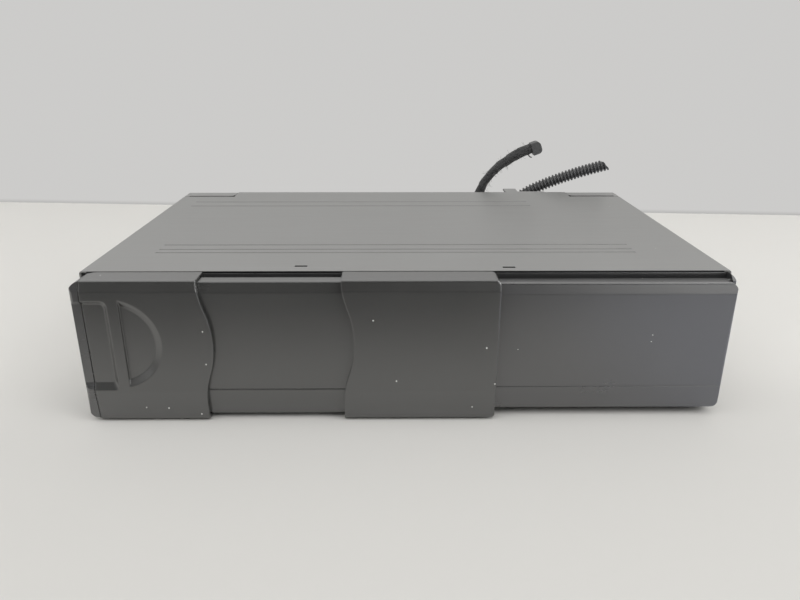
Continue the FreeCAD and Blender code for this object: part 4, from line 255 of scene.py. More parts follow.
@dataclass(frozen=True)
class PaintedWallShade:
    """Painted shade: upright walls close under the cover's top, where cut sheet and seams lie in shadow, are
    coloured dark; in millimetres.

    The side bends get no painted shade, and neither do the walls of the pressed beads, except in the front
    band.
    Where a seam place is given, all that lies ahead of that place, counted from the rear edge, is painted
    dark too, as the seam's shadow.
    """

    # Colour of the painted shade on the walls
    colour: Colour = (0.012, 0.012, 0.012)
    below_top: float = 4.0
    bead_depth: float = 0.28
    front_band: float = 15.0
    side_bend: float = 3.0
    steepest: float = 0.6
    painted_seam_shade: float = 0.0

    def mask(self, sheet: NodeSheet) -> Socket:
        """Mask of the walls that get painted shade.

        Args:
            sheet: the material's nodes.

        Returns:
            1 on the walls and 0 elsewhere.
        """
        place, facing = sheet.axes(sheet.coordinates()), sheet.axes(sheet.coordinates("Normal"))
        sunk = sheet.math("LESS_THAN", place["Z"], (HEIGHT - self.bead_depth) * MM)
        in_front = sheet.math("LESS_THAN", place["Y"], (FRONT + self.front_band) * MM)
        steep = sheet.math("LESS_THAN", facing["Z"], self.steepest)
        # Painted shade: steep walls that lie below the beads' depth or in the front band
        dark = sheet.times(sheet.math("MAXIMUM", sunk, in_front), steep)
        # Painted shadow of the ear's seam: its front strip turns dark
        if self.painted_seam_shade:
            seam = sheet.math("LESS_THAN", place["Y"], (REAR + self.painted_seam_shade) * MM)
            dark = sheet.math("MAXIMUM", dark, seam)
        high = sheet.math("GREATER_THAN", place["Z"], (HEIGHT - self.below_top) * MM)
        aside = sheet.math("ABSOLUTE", place["X"])
        inner = sheet.math("LESS_THAN", aside, (COVER_HALF - self.side_bend) * MM)
        return sheet.times(dark, sheet.times(high, inner))


@dataclass(frozen=True)
class Finish:
    """A surface with grain, streaks, smudges, specks and a slow change of colour over it.

    Attributes:
        name: material name.
        colour: main colour.
        tint: colour that it drifts towards in broad patches.
        roughness: dullness of the clean surface.
        metallic: 1 for bare metal, 0 for paint and plastic.
        grain: fineness of the grain.
        depth: height of the grain in metres.
        streak: how much drawn lines change the roughness.
        bearing: direction of those lines.
        specks: share of dust specks.
        dust: colour of the dust.
        coat: weight of a clear coat.
        sheen: index of refraction, which sets how strongly it reflects.
        painted_wall_shade: painted shade, where the finish turns dark on upright walls, or None.
        soft_edge: radius in millimetres over which creases look rounded, or 0.
    """

    name: str
    colour: Colour
    tint: Colour
    roughness: float
    metallic: float = 0.0
    grain: float = 1400.0
    depth: float = 0.00002
    streak: float = 0.04
    bearing: Bearing = Bearing.EVEN
    specks: float = 0.0
    dust: Colour = (0.45, 0.45, 0.43)
    coat: float = 0.0
    sheen: float = 1.5
    painted_wall_shade: PaintedWallShade | None = None
    soft_edge: float = 0.0

    # Shared by all finishes
    smudge_tint = 0.5
    smudge_dullness = 0.02
    dust_dullness = 0.8
    coat_roughness = 0.12
    crease_samples = 8

    def build(self, effects: Effects) -> Material:
        """Make the material.

        Args:
            effects: the shared node groups.

        Returns:
            A node material on Object coordinates.
        """
        material, sheet, shader = new_material(self.name)
        at = sheet.coordinates()
        smudge = sheet.place(effects.smudges, at, Scale=22.0)
        streak = sheet.place(effects.streaks, at, Stretch=self.bearing.value, Scale=500.0)
        patch = sheet.times(smudge, self.smudge_tint)
        colour = sheet.blend(patch, self.colour, self.tint)
        rough = sheet.math("MULTIPLY_ADD", streak, self.streak, self.roughness)
        rough = sheet.math("ADD", rough, sheet.times(smudge, self.smudge_dullness))
        if self.specks > 0.0:
            dust = sheet.place(effects.specks, at, Scale=230.0, Size=0.07, Share=self.specks)
            colour = sheet.blend(dust, colour, self.dust)
            rough = sheet.math("MAXIMUM", rough, sheet.times(dust, self.dust_dullness))
        # Painted shade on upright walls and seams under the top
        if self.painted_wall_shade is not None:
            colour = sheet.blend(self.painted_wall_shade.mask(sheet), colour, self.painted_wall_shade.colour)
        height = sheet.place(effects.grain, at, Scale=self.grain)
        bump = sheet.add("Bump", {"Distance": self.depth, "Height": height})
        if self.soft_edge > 0.0:
            soft = sheet.add("Bevel", {"Radius": self.soft_edge * MM}, samples=self.crease_samples)
            sheet.fill(bump, {"Normal": soft.outputs["Normal"]})
        sheet.fill(shader, {"Base Color": colour, "Roughness": rough, "Metallic": self.metallic,
                            "IOR": self.sheen, "Coat Weight": self.coat,
                            "Coat Roughness": self.coat_roughness, "Normal": bump.outputs["Normal"]})
        return material


@dataclass(frozen=True)
class BoardFinish:
    """Circuit board lacquer over branching copper tracks with solder pads."""

    name: str = "board_lacquer"
    lacquer: Colour = (0.012, 0.085, 0.035)
    track: Colour = (0.03, 0.19, 0.07)
    pad: Colour = (0.55, 0.5, 0.35)
    track_scale: float = 90.0
    track_width: float = 0.12
    roughness: Span = (0.42, 0.25)

    def build(self, effects: Effects) -> Material:
        """Make the material: the joints of a brick pattern are the tracks, specks are the pads.

        Args:
            effects: the shared node groups.

        Returns:
            A node material on Object coordinates.
        """
        material, sheet, shader = new_material(self.name)
        at = sheet.coordinates()
        ground = rgba(self.lacquer)
        tracks = sheet.add("TexBrick", {"Vector": at, "Scale": self.track_scale, "Color1": ground,
                                        "Color2": ground, "Mortar": rgba(self.track),
                                        "Mortar Size": self.track_width})
        pads = sheet.place(effects.specks, at, Scale=330.0, Size=0.22, Share=0.35)
        sheet.fill(shader, {"Base Color": sheet.blend(pads, tracks.outputs["Color"], self.pad),
                            "Roughness": sheet.ramp(pads, (0.0, 1.0), self.roughness), "Coat Weight": 0.4})
        return material


@dataclass(frozen=True)
class DiscFinish:
    """Silver disc layer with a painted rainbow sheen, whose tint shifts in rings and rays."""

    name: str
    centre: Point
    silver: Colour = (0.78, 0.79, 0.81)
    cool: Colour = (0.45, 0.62, 0.8)
    warm: Colour = (0.78, 0.62, 0.46)
    painted_rainbow_share: float = 0.28
    painted_rainbow_repeats: int = 2
    ring_scale: float = 260.0
    roughness: Span = (0.1, 0.17)

    def build(self, effects: Effects) -> Material:
        """Make the material: rings in the gloss round the centre, and rays of cool and warm as a painted
        rainbow sheen.

        Args:
            effects: the shared node groups, not needed here.

        Returns:
            A node material on Object coordinates.
        """
        material, sheet, shader = new_material(self.name)
        to_centre = {"Vector": sheet.coordinates(), "Location": tuple(-c * MM for c in self.centre)}
        at = sheet.add("Mapping", to_centre).outputs["Vector"]
        rings = sheet.add("TexWave", {"Vector": at, "Scale": self.ring_scale}, wave_type="RINGS",
                          rings_direction="Z")
        turn = sheet.add("TexGradient", {"Vector": at}, gradient_type="RADIAL").outputs["Fac"]
        # Painted rainbow sheen: cool and warm rays round the centre
        sweep = sheet.math("SINE", sheet.times(turn, self.painted_rainbow_repeats * FULL_TURN))
        painted_rainbow = sheet.blend(sheet.ramp(sweep, (-1.0, 1.0)), self.cool, self.warm)
        sheet.fill(shader, {"Base Color": sheet.blend(self.painted_rainbow_share, self.silver, painted_rainbow), "Metallic": 1.0,
                            "Roughness": sheet.ramp(rings.outputs["Fac"], (0.0, 1.0), self.roughness)})
        return material


@dataclass(frozen=True)
class TapeFinish:
    """Fleecy cloth tape: a weave in the piece's own UV map, with lint."""

    name: str = "fleece_tape"
    thread: Colour = (0.014, 0.014, 0.015)
    worn: Colour = (0.062, 0.062, 0.064)
    fleece_scale: float = 60.0
    depth: float = 0.00025
    roughness: Span = (0.75, 0.95)

    def build(self, effects: Effects) -> Material:
        """Make the material.

        Args:
            effects: the shared node groups.

        Returns:
            A node material on the UV map.
        """
        material, sheet, shader = new_material(self.name)
        at = sheet.coordinates("UV")
        weave = sheet.add("TexWave", {"Vector": at, "Scale": 14.0, "Distortion": 1.5}).outputs["Fac"]
        lint = sheet.place(effects.smudges, at, Scale=16.0)
        height = sheet.math("ADD", weave, sheet.noise(at, self.fleece_scale))
        bump = sheet.add("Bump", {"Distance": self.depth, "Height": height})
        sheet.fill(shader, {"Base Color": sheet.blend(lint, self.thread, self.worn),
                            "Roughness": sheet.ramp(lint, (0.0, 1.0), self.roughness),
                            "Normal": bump.outputs["Normal"], "Sheen Weight": 0.25, "Sheen Roughness": 0.6})
        return material


@dataclass
class Palette:
    """Every finish of the changer, built once."""

    effects: Effects = field(default_factory=Effects)
    made: dict[str, Material] = field(default_factory=dict)

    def get(self, finish: object) -> Material:
        """Return a finish's material, making it the first time."""
        if finish.name not in self.made:
            self.made[finish.name] = finish.build(self.effects)
        return self.made[finish.name]


# The cover's dark upright walls under its top are painted shade
COVER_PAINT = Finish("cover_paint", (0.215, 0.214, 0.21), (0.235, 0.234, 0.23), 0.34, grain=2600.0,
                     depth=0.000006, streak=0.02, bearing=Bearing.ALONG_X, specks=0.012,
                     dust=(0.5, 0.5, 0.49), painted_wall_shade=PaintedWallShade())
# The ear's dark upright walls and the strip ahead of its seam are painted shade
EAR_PAINT = Finish("ear_paint", (0.25, 0.249, 0.245), (0.265, 0.264, 0.26), 0.42, grain=2200.0,
                   depth=0.000008, streak=0.03, bearing=Bearing.ALONG_X, specks=0.02,
                   painted_wall_shade=PaintedWallShade(painted_seam_shade=-8.7))
FRONT_PLASTIC = Finish("front_plastic", (0.036, 0.036, 0.035), (0.042, 0.042, 0.041), 0.25, grain=1900.0,
                       depth=0.000003, streak=0.004, bearing=Bearing.ALONG_X, specks=0.16,
                       dust=(0.85, 0.85, 0.82), sheen=2.0, soft_edge=0.9)
PANEL_PLASTIC = replace(FRONT_PLASTIC, name="panel_plastic", colour=(0.041, 0.041, 0.042),
                        tint=(0.049, 0.049, 0.05), roughness=0.27, specks=0.13, soft_edge=0.3)
ZINC_SHEET = Finish("zinc_sheet", (0.5, 0.51, 0.51), (0.62, 0.63, 0.63), 0.34, metallic=1.0, grain=700.0,
                    depth=0.00001, streak=0.1, bearing=Bearing.ALONG_X)
SCREW_STEEL = Finish("screw_steel", (0.45, 0.44, 0.42), (0.56, 0.55, 0.52), 0.3, metallic=1.0, grain=2500.0,
                     depth=0.000005)
POLISHED_STEEL = Finish("polished_steel", (0.72, 0.72, 0.73), (0.66, 0.66, 0.68), 0.12, metallic=1.0,
                        grain=3000.0, depth=0.000001)
MOTOR_STEEL = Finish("motor_steel", (0.5, 0.5, 0.49), (0.58, 0.58, 0.56), 0.28, metallic=1.0, grain=1200.0,
                     depth=0.000004, streak=0.12, bearing=Bearing.ALONG_Z)
CAN_ALUMINIUM = Finish("can_aluminium", (0.72, 0.73, 0.74), (0.66, 0.67, 0.7), 0.3, metallic=1.0)
BLACK_PLASTIC = Finish("black_plastic", (0.022, 0.022, 0.024), (0.034, 0.034, 0.036), 0.5, grain=1500.0)
CHIP_EPOXY = Finish("chip_epoxy", (0.02, 0.02, 0.021), (0.03, 0.03, 0.03), 0.55, grain=2600.0, depth=0.00001)
GREY_PLASTIC = Finish("grey_plastic", (0.16, 0.162, 0.165), (0.19, 0.192, 0.195), 0.46, grain=1500.0,
                      specks=0.02)
WHITE_PLASTIC = Finish("white_plastic", (0.7, 0.69, 0.65), (0.62, 0.61, 0.57), 0.42, grain=1500.0,
                       depth=0.00001)
DAMPER_RUBBER = Finish("damper_rubber", (0.026, 0.026, 0.026), (0.05, 0.05, 0.05), 0.72, grain=900.0,
                       depth=0.00005)
LENS_GLASS = Finish("lens_glass", (0.06, 0.09, 0.2), (0.1, 0.07, 0.22), 0.06, grain=3000.0, depth=0.000001,
                    coat=1.0)
CONDUIT_PLASTIC = Finish("conduit_plastic", (0.06, 0.06, 0.062), (0.12, 0.12, 0.122), 0.34, grain=1300.0,
                         depth=0.00003, specks=0.03)
CONNECTOR_PLASTIC = Finish("connector_plastic", (0.085, 0.086, 0.088), (0.11, 0.111, 0.113), 0.52,
                           grain=1500.0, depth=0.00003)


# Meshes


def mesh_object(name: str, vertices: np.ndarray, faces: np.ndarray, material: Material,
                uvs: np.ndarray | None = None) -> bpy.types.Object:
    """Make a smoothly shaded object from whole arrays.

    Args:
        name: object name.
        vertices: (n, 3) points in metres.
        faces: (m, 4) corner numbers; a triangle repeats its last corner.
        material: its finish.
        uvs: (n, 2) map, or None.

    Returns:
        The object, linked to the scene.
    """
    mesh = bpy.data.meshes.new(name)
    mesh.from_pydata(vertices.tolist(), [], [tuple(dict.fromkeys(face)) for face in faces.tolist()])
    mesh.polygons.foreach_set("use_smooth", np.ones(len(mesh.polygons), bool))
    mesh.materials.append(material)
    if uvs is not None:
        layer = mesh.uv_layers.new(name="lay")
        corners = np.empty(len(mesh.loops), np.int32)
        mesh.loops.foreach_get("vertex_index", corners)
        layer.data.foreach_set("uv", uvs[corners].astype(np.float32).ravel())
    mesh.update()
    piece = bpy.data.objects.new(name, mesh)
    bpy.context.scene.collection.objects.link(piece)
    return piece


@dataclass(frozen=True)
class Rings:
    """Points round a tube: so many rings along it, with so many points in each."""

    rows: int
    columns: int

    def spread(self) -> Sequence[np.ndarray]:
        """Shares of the length, from 0 to 1, and angles round it, for every point."""
        angles = np.linspace(0.0, FULL_TURN, self.columns, endpoint=False)
        return np.meshgrid(np.linspace(0.0, 1.0, self.rows), angles, indexing="ij")

    def faces(self) -> np.ndarray:
        """Quads between neighbouring points; the last point of a ring joins its first.

        Returns:
            (n, 4) corner numbers.
        """
        row, column = np.meshgrid(np.arange(self.rows - 1), np.arange(self.columns), indexing="ij")
        after = (column + 1) % self.columns
        here, ahead = row * self.columns, (row + 1) * self.columns
        return np.stack([here + column, here + after, ahead + after, ahead + column], axis=-1).reshape(-1, 4)

    def fans(self) -> np.ndarray:
        """Triangles that close both ends on two middle points, which follow the tube's own.

        Returns:
            (n, 4) corner numbers, the last one repeated.
        """
        start = np.arange(self.columns)
        after = (start + 1) % self.columns
        last = (self.rows - 1) * self.columns
        middle = np.full(self.columns, self.rows * self.columns)
        return np.vstack([np.column_stack([middle, after, start, start]),
                          np.column_stack([middle + 1, last + start, last + after, last + after])])


def read_between(values: np.ndarray, stations: np.ndarray, wanted: np.ndarray) -> np.ndarray:
    """Points that are given at stations, read at wanted places between them."""
    return np.stack([np.interp(wanted, stations, column) for column in values.T], axis=-1)


def cable_line(route: Sequence[Span], samples: int) -> np.ndarray:
    """Evenly spaced points on the smooth NURBS line of a cable in the plane behind the box.

    Args:
        route: control points in millimetres across and up.
        samples: how many points to return.

    Returns:
        (samples, 3) points in metres.
    """
    points = [(x * MM, CABLE_Y * MM, z * MM, 1.0) for x, z in route]
    curve = bpy.data.curves.new("route", "CURVE")
    curve.dimensions = "3D"
    curve.resolution_u = 32
    spline = curve.splines.new("NURBS")
    spline.points.add(len(points) - 1)
    spline.points.foreach_set("co", np.ravel(points))
    spline.order_u = 3
    spline.use_endpoint_u = True
    holder = bpy.data.objects.new("route", curve)
    bpy.context.scene.collection.objects.link(holder)
    bpy.context.view_layer.update()
    mesh = bpy.data.meshes.new_from_object(holder.evaluated_get(bpy.context.evaluated_depsgraph_get()))
    line = np.empty(len(mesh.vertices) * 3)
    mesh.vertices.foreach_get("co", line)
    line = line.reshape(-1, 3)
    bpy.data.meshes.remove(mesh)
    bpy.data.objects.remove(holder)
    bpy.data.curves.remove(curve)
    along = np.concatenate([[0.0], np.cumsum(np.linalg.norm(np.diff(line, axis=0), axis=1))])
    return read_between(line, along, np.linspace(0.0, along[-1], samples))


def line_length(line: np.ndarray) -> float:
    """Length of a line of points."""
    return float(np.linalg.norm(np.diff(line, axis=0), axis=1).sum())


def sweep_tube(line: np.ndarray, along: np.ndarray, radius: np.ndarray, turn: np.ndarray) -> np.ndarray:
    """Points of a tube: at distance s on the line, radius r out from it, turned by an angle.

    The line lies in a plane of constant Y, so the ring's first axis is the line's normal in that
    plane, (-tz, 0, tx) for the direction (tx, 0, tz), and its second axis is Y.

    Args:
        line: evenly spaced points of the line.
        along: (rows, columns) distances from its start.
        radius: (rows, columns) distances from it.
        turn: (rows, columns) angles round it; 0 is the upper side.

    Returns:
        (rows * columns, 3) points.
    """
    stations = np.linspace(0.0, line_length(line), len(line))
    direction = np.gradient(line, axis=0)
    direction /= np.linalg.norm(direction, axis=1)[:, None]
    centre, ahead = read_between(line, stations, along), read_between(direction, stations, along)
    upper = np.stack([-ahead[..., 2], np.zeros_like(along), ahead[..., 0]], axis=-1)
    sideways = np.zeros_like(upper)
    sideways[..., 1] = 1.0
    offset = radius[..., None] * (np.cos(turn)[..., None] * upper + np.sin(turn)[..., None] * sideways)
    return (centre + offset).reshape(-1, 3)


def thin_tube(line: np.ndarray, radius: float) -> tuple[np.ndarray, np.ndarray]:
    """Four-sided closed tube round a short line.

    Args:
        line: (n, 3) points in metres.
        radius: distance of its corners from the line.

    Returns:
        Its points and its faces.
    """
    sides, aside = 4, (0.3, 1.0, 0.2)
    direction = np.gradient(line, axis=0)
    first = np.cross(direction, aside)
    first /= np.linalg.norm(first, axis=1)[:, None]
    second = np.cross(first, direction)
    second /= np.linalg.norm(second, axis=1)[:, None]
    turn = (np.arange(sides) * FULL_TURN / sides)[:, None]
    offset = np.cos(turn) * first[:, None, :] + np.sin(turn) * second[:, None, :]
    points = (line[:, None, :] + radius * offset).reshape(-1, 3)
    corners = np.arange(sides)
    caps = [corners[::-1], corners + sides * (len(line) - 1)]
    return points, np.vstack([Rings(len(line), sides).faces(), caps])


# Cables


@dataclass
class TapedLead:
    """The taped cable that stands up behind the box, with its lint; lengths in millimetres."""

    palette: Palette
    route: tuple[Span, ...] = ((46.5, 38.0), (46.5, 49.0), (49.8, 60.5), (56.9, 70.2), (65.7, 76.8),
                               (74.3, 81.8), (79.3, 83.7))
    diameter: float = 5.3
    # Laps of the tape: their rise is a share of the pitch, and the tube lies under them
    lap_pitch: float = 7.5
    lap_height: float = 0.3
    lap_rise: float = 0.12
    under_tape: float = 0.22
    # Thickening towards the end, between shares of the length; the base's is a multiple of it
    swell: float = 0.45
    swell_from: float = 0.45
    swell_over: float = 0.4
    base_swell: float = 1.4
    # Slow waves of the surface: height, phase in radians along the lead, repeats round it
    waves: Sequence[Sequence[float]] = ((0.1, 9.0, 2.0), (0.08, 31.0, 3.0))
    weave_length: float = 20.0
    # Whiskers of fleece: shares of the length where they root, and their lean as a share of their reach
    whiskers: int = 130
    whisker_places: Span = (0.33, 0.97)
    whisker_reach: Span = (0.8, 2.0)
    whisker_lean: float = 0.6
    whisker_root: float = 0.3
    whisker_radius: float = 0.045
    # Torn strand, from the lead's centre line near its end
    strand: tuple[Point, ...] = ((0.0, 0.0, -1.8), (-0.7, -0.3, -3.0), (-0.5, -0.6, -4.2),
                                 (0.3, -0.8, -5.0), (1.3, -0.8, -5.3))
    strand_radius: float = 0.34
    strand_at: float = 0.985

    def build(self) -> None:
        """Points = sweep of the radius along the line, closed by a fan at either end.
        """
        line = cable_line(self.route, samples=400)
        length = line_length(line)
        rings = Rings(rows=260, columns=40)
        share, turn = rings.spread()
        points = sweep_tube(line, share * length, self._radius(share, turn, length) * MM, turn)
        uvs = np.column_stack([share.ravel() * length / MM / self.weave_length, turn.ravel() / FULL_TURN])
        uvs = np.vstack([uvs, [[0.0, 0.5], [1.0, 0.5]]])
        tape = self.palette.get(TapeFinish())
        piece = mesh_object("taped_lead", np.vstack([points, line[[0, -1]]]),
                            np.vstack([rings.faces(), rings.fans()]), tape, uvs)
        lint = self._lint(line, tape)
        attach(piece, "case")
        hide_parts("harness_lead")
        LOG.info("taped lead, %.1f mm long", length / MM)

    def _radius(self, share: np.ndarray, turn: np.ndarray, length: float) -> np.ndarray:
        """Radius = tube + lap height * sawtooth(s / pitch - turn / full turn) + swell + two slow waves.

        Args:
            share: (rows, columns) shares of the length.
            turn: (rows, columns) angles round the lead.
            length: the lead's length in metres.

        Returns:
            (rows, columns) radii in millimetres.
        """
        lap = (share * length / (self.lap_pitch * MM) - turn / FULL_TURN) % 1.0
        step = np.minimum(lap / self.lap_rise, 1.0) * (1.0 - lap)
        end = np.clip((share - self.swell_from) / self.swell_over, 0.0, 1.0) ** 2
        base = np.clip(1.0 - share / self.swell_from, 0.0, 1.0)
        wobble = sum(height * np.sin(along * share + around * turn) for height, along, around in self.waves)
        tube = self.diameter / 2 - self.under_tape
        return tube + self.lap_height * step + self.swell * (end + self.base_swell * base) + wobble

    def _lint(self, line: np.ndarray, tape: Material) -> bpy.types.Object:
        """Whiskers of fleece that stand out from the tape, and a torn strand under its end.

        Each whisker runs root + reach * (t * outward + t^2 * lean), with t from 0 to 1.

        Args:
            line: evenly spaced points of the lead's centre.
            tape: the tape's material.

        Returns:
            One object with all of them.
        """
        rng = np.random.default_rng(11)
        hang = line[int(self.strand_at * len(line))]
        tubes = [thin_tube(hang + np.array(self.strand) * MM, self.strand_radius * MM)]
        t = np.linspace(0.0, 1.0, 5)[:, None]
        for _ in range(self.whiskers):
            index = int(rng.uniform(*self.whisker_places) * (len(line) - 2))
            ahead = line[index + 1] - line[index]
            ahead /= np.linalg.norm(ahead)
            turn = rng.uniform(0.0, FULL_TURN)
            outward = np.array([-ahead[2] * math.cos(turn), math.sin(turn), ahead[0] * math.cos(turn)])
            lean = self.whisker_lean * rng.normal(size=3)
            reach = rng.uniform(*self.whisker_reach) * MM
            root = line[index] + outward * (self.diameter / 2 - self.whisker_root) * MM
            tubes.append(thin_tube(root + reach * (t * outward + t * t * lean), self.whisker_radius * MM))
        starts = np.cumsum([0] + [len(points) for points, _ in tubes[:-1]])
        points = np.vstack([tube[0] for tube in tubes])
        faces = np.vstack([tube[1] + start for tube, start in zip(tubes, starts)])
        piece = mesh_object("lead_lint", points, faces, tape, np.full((len(points), 2), 0.5))
        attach(piece, "case")
        LOG.info("lint of %d whiskers", self.whiskers)
        return piece


@dataclass
class RibbedConduit:
    """The ribbed tube that stands up behind the box, cut off at a slant; lengths in millimetres.

    The ribs are a cosine, clipped by their squareness, and the cut lies further by the slant on the
    lower side than on the upper side.
    """

    palette: Palette
    route: tuple[Span, ...] = ((60.5, 35.5), (66.6, 47.0), (76.3, 55.7), (88.5, 61.4), (101.6, 66.3),
                               (115.0, 70.5), (127.6, 73.8))
    diameter: float = 7.1
    bore: float = 5.0
    rib_pitch: float = 2.1
    rib_height: float = 0.55
    rib_squareness: float = 1.6
    slant: float = 3.3

    def build(self) -> None:
        """Outer radius = root + rib height * clipped cosine of s / pitch; the end's distance grows from
        the upper side to the lower side by the slant.
        """
        line = cable_line(self.route, samples=500)
        length = line_length(line)
        columns, rows_a_rib, bore_rows = 44, 12, 60
        rib_rows = rows_a_rib * int(length / (self.rib_pitch * MM))
        share, turn = Rings(rib_rows, columns).spread()
        along = share * self._reach(length, turn)
        wave = np.clip(self.rib_squareness * np.cos(FULL_TURN * along / (self.rib_pitch * MM)), -1.0, 1.0)
        radius = self.diameter / 2 - self.rib_height + self.rib_height * wave
        outer = sweep_tube(line, along, radius * MM, turn)
        share, turn = Rings(bore_rows, columns).spread()
        along = (1.0 - share) * self._reach(length, turn)
        inner = sweep_tube(line, along, np.full(along.shape, self.bore / 2 * MM), turn)
        start = np.arange(columns)
        after = (start + 1) % columns
        last = (rib_rows + bore_rows - 1) * columns
        closing = np.column_stack([last + start, last + after, after, start])
        piece = mesh_object("ribbed_conduit", np.vstack([outer, inner]),
                            np.vstack([Rings(rib_rows + bore_rows, columns).faces(), closing]),
                            self.palette.get(CONDUIT_PLASTIC))
        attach(piece, "case")
        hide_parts("conduit")
        LOG.info("ribbed conduit, %.1f mm long", length / MM)

    def _reach(self, length: float, turn: np.ndarray) -> np.ndarray:
        """Distance of the cut from the start at each angle, in metres."""
        return length - self.slant * MM * (1.0 + np.cos(turn)) / 2.0


# Pieces of the box


@dataclass
class Dressing:
    """Gives CAD nodes their finish and softens the cut edges of some; sizes in millimetres."""

    palette: Palette
    merge: float = 0.002
    least_angle: float = 40.0

    def dress(self, finish: object, names: Sequence[str], edge: float = 0.0) -> None:
        """Assign a finish to nodes.

        Args:
            finish: the finish.
            names: CAD node names.
            edge: width in millimetres of the rounding along their edges, or 0.
        """
        material = self.palette.get(finish)
        for name in names:
            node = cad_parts[name]
            node.data.materials.clear()
            node.data.materials.append(material)
            if edge > 0.0:
                weld = node.modifiers.new("merge_doubles", "WELD")
                weld.merge_threshold = self.merge * MM
                bevel = node.modifiers.new("soft_edges", "BEVEL")
                bevel.width = edge * MM
                bevel.segments = 3
                bevel.limit_method = "ANGLE"
                bevel.angle_limit = math.radians(self.least_angle)
            LOG.info("%s dressed as %s", name, finish.name)


@dataclass
class Shell:
    """Cover, rear wall, pan, front and fixings."""

    dressing: Dressing
    sheet_edge: float = 0.2
    connector_edge: float = 0.4

    def build(self) -> None:
        """Dress the outer parts."""
        self.dressing.dress(COVER_PAINT, ["top_cover"], self.sheet_edge)
        self.dressing.dress(EAR_PAINT, ["rear_panel", "cable_bracket"], self.sheet_edge)
        self.dressing.dress(ZINC_SHEET, ["bottom_chassis"])
        self.dressing.dress(FRONT_PLASTIC, ["door_grip", "door_shutter"])
        self.dressing.dress(PANEL_PLASTIC, ["front_bezel"])
        self.dressing.dress(SCREW_STEEL, ["case_screws", "board_screws", "board_standoffs"])
        self.dressing.dress(BLACK_PLASTIC, ["angle_dial_left", "angle_dial_right", "rear_socket",
                                            "harness_plug"])
        self.dressing.dress(CONNECTOR_PLASTIC, ["harness_connector"], self.connector_edge)


@dataclass
class Electronics:
    """Board and its parts."""

    dressing: Dressing

    def build(self) -> None:
        """Dress the board and what stands on it."""
        self.dressing.dress(BoardFinish(), ["main_board"])
        self.dressing.dress(CHIP_EPOXY, ["board_chips"])
        self.dressing.dress(CAN_ALUMINIUM, ["capacitors"])


@dataclass
class Magazine:
    """Magazine, trays and discs."""

    dressing: Dressing
    disc_x: float = -58.0
    disc_back: float = 68.5
    count: int = 6

    def build(self) -> None:
        """Dress the magazine and its discs."""
        numbers = range(1, self.count + 1)
        self.dressing.dress(GREY_PLASTIC, ["magazine_case"] + ["disc_tray_%d" % k for k in numbers])
        self.dressing.dress(BLACK_PLASTIC, ["magazine_cradle", "eject_button", "catch_lever"])
        disc = DiscFinish("disc_layer", (self.disc_x, FRONT + self.disc_back, 0.0))
        self.dressing.dress(disc, ["disc_%d" % k for k in numbers])


@dataclass
class Mechanism:
    """Floating frame, lift, deck and pickup."""

    dressing: Dressing

    def build(self) -> None:
        """Dress the moving parts and what carries them."""
        self.dressing.dress(ZINC_SHEET, ["floating_frame", "frame_lid", "eject_guide", "gear_bracket",
                                         "elevator_deck", "arm_stand", "clamp_arm"])
        self.dressing.dress(DAMPER_RUBBER, ["dampers"])
        self.dressing.dress(SCREW_STEEL, ["damper_studs"])
        self.dressing.dress(POLISHED_STEEL, ["guide_posts", "lift_stud", "clamp_pin", "sled_rods",
                                             "lead_screw"])
        self.dressing.dress(WHITE_PLASTIC, ["cam_plate", "lift_gear", "motor_pinion", "clamp_puck"])
        self.dressing.dress(MOTOR_STEEL, ["lift_motor", "spindle_motor", "sled_motor"])
        self.dressing.dress(BLACK_PLASTIC, ["turntable", "pickup_sled"])
        self.dressing.dress(LENS_GLASS, ["objective_lens"])


# Camera


@dataclass
class Viewpoint:
    """Camera of the photograph: place in millimetres from the cover's front edge and top."""

    place: Point = (-5.0, -250.0, 81.8)
    yaw: float = 0.55
    pitch: float = 20.6
    roll: float = 0.07
    focal_pixels: float = 674.0
    width_pixels: float = 800.0
    sensor: float = 36.0
    clip: Span = (0.01, 20.0)

    def axes(self) -> tuple[np.ndarray, np.ndarray, np.ndarray]:
        """Right, up and forward directions of the camera.

        Returns:
            Three unit vectors.
        """
        yaw, pitch, roll = (math.radians(a) for a in (self.yaw, self.pitch, self.roll))
        level = math.cos(pitch)
        forward = np.array([math.sin(yaw) * level, math.cos(yaw) * level, -math.sin(pitch)])
        right = np.array([math.cos(yaw), -math.sin(yaw), 0.0])
        up = np.cross(right, forward)
        cos, sin = math.cos(roll), math.sin(roll)
        return cos * right + sin * up, -sin * right + cos * up, forward

    def build(self) -> None:
        """Make the scene's camera."""
        right, up, forward = self.axes()
        camera = bpy.data.cameras.new("viewpoint")
        camera.lens = self.focal_pixels / self.width_pixels * self.sensor
        camera.sensor_width = self.sensor
        camera.clip_start, camera.clip_end = self.clip
        holder = bpy.data.objects.new("viewpoint", camera)
        x, y, z = self.place
        turn = Matrix(np.column_stack([right, up, -forward]).tolist()).to_4x4()
        holder.matrix_world = Matrix.Translation((x * MM, (FRONT + y) * MM, (HEIGHT + z) * MM)) @ turn
        bpy.context.scene.collection.objects.link(holder)
        bpy.context.scene.camera = holder


# Stage and light


def stage_material(name: str, colour: Colour) -> tuple:
    """Start a dull, faintly mottled material for the table or the wall.

    Args:
        name: its name.
        colour: its colour.

    Returns:
        The material, its sheet, its surface shader, its coordinates and the mottled colour.
    """
    material, sheet, shader = new_material(name)
    at = sheet.coordinates()
    faded = tuple(0.985 * c for c in colour)
    sheet.fill(shader, {"Roughness": 0.7, "Specular IOR Level": 0.2})
    return material, sheet, shader, at, sheet.blend(sheet.noise(at, scale=3.0), colour, faded)


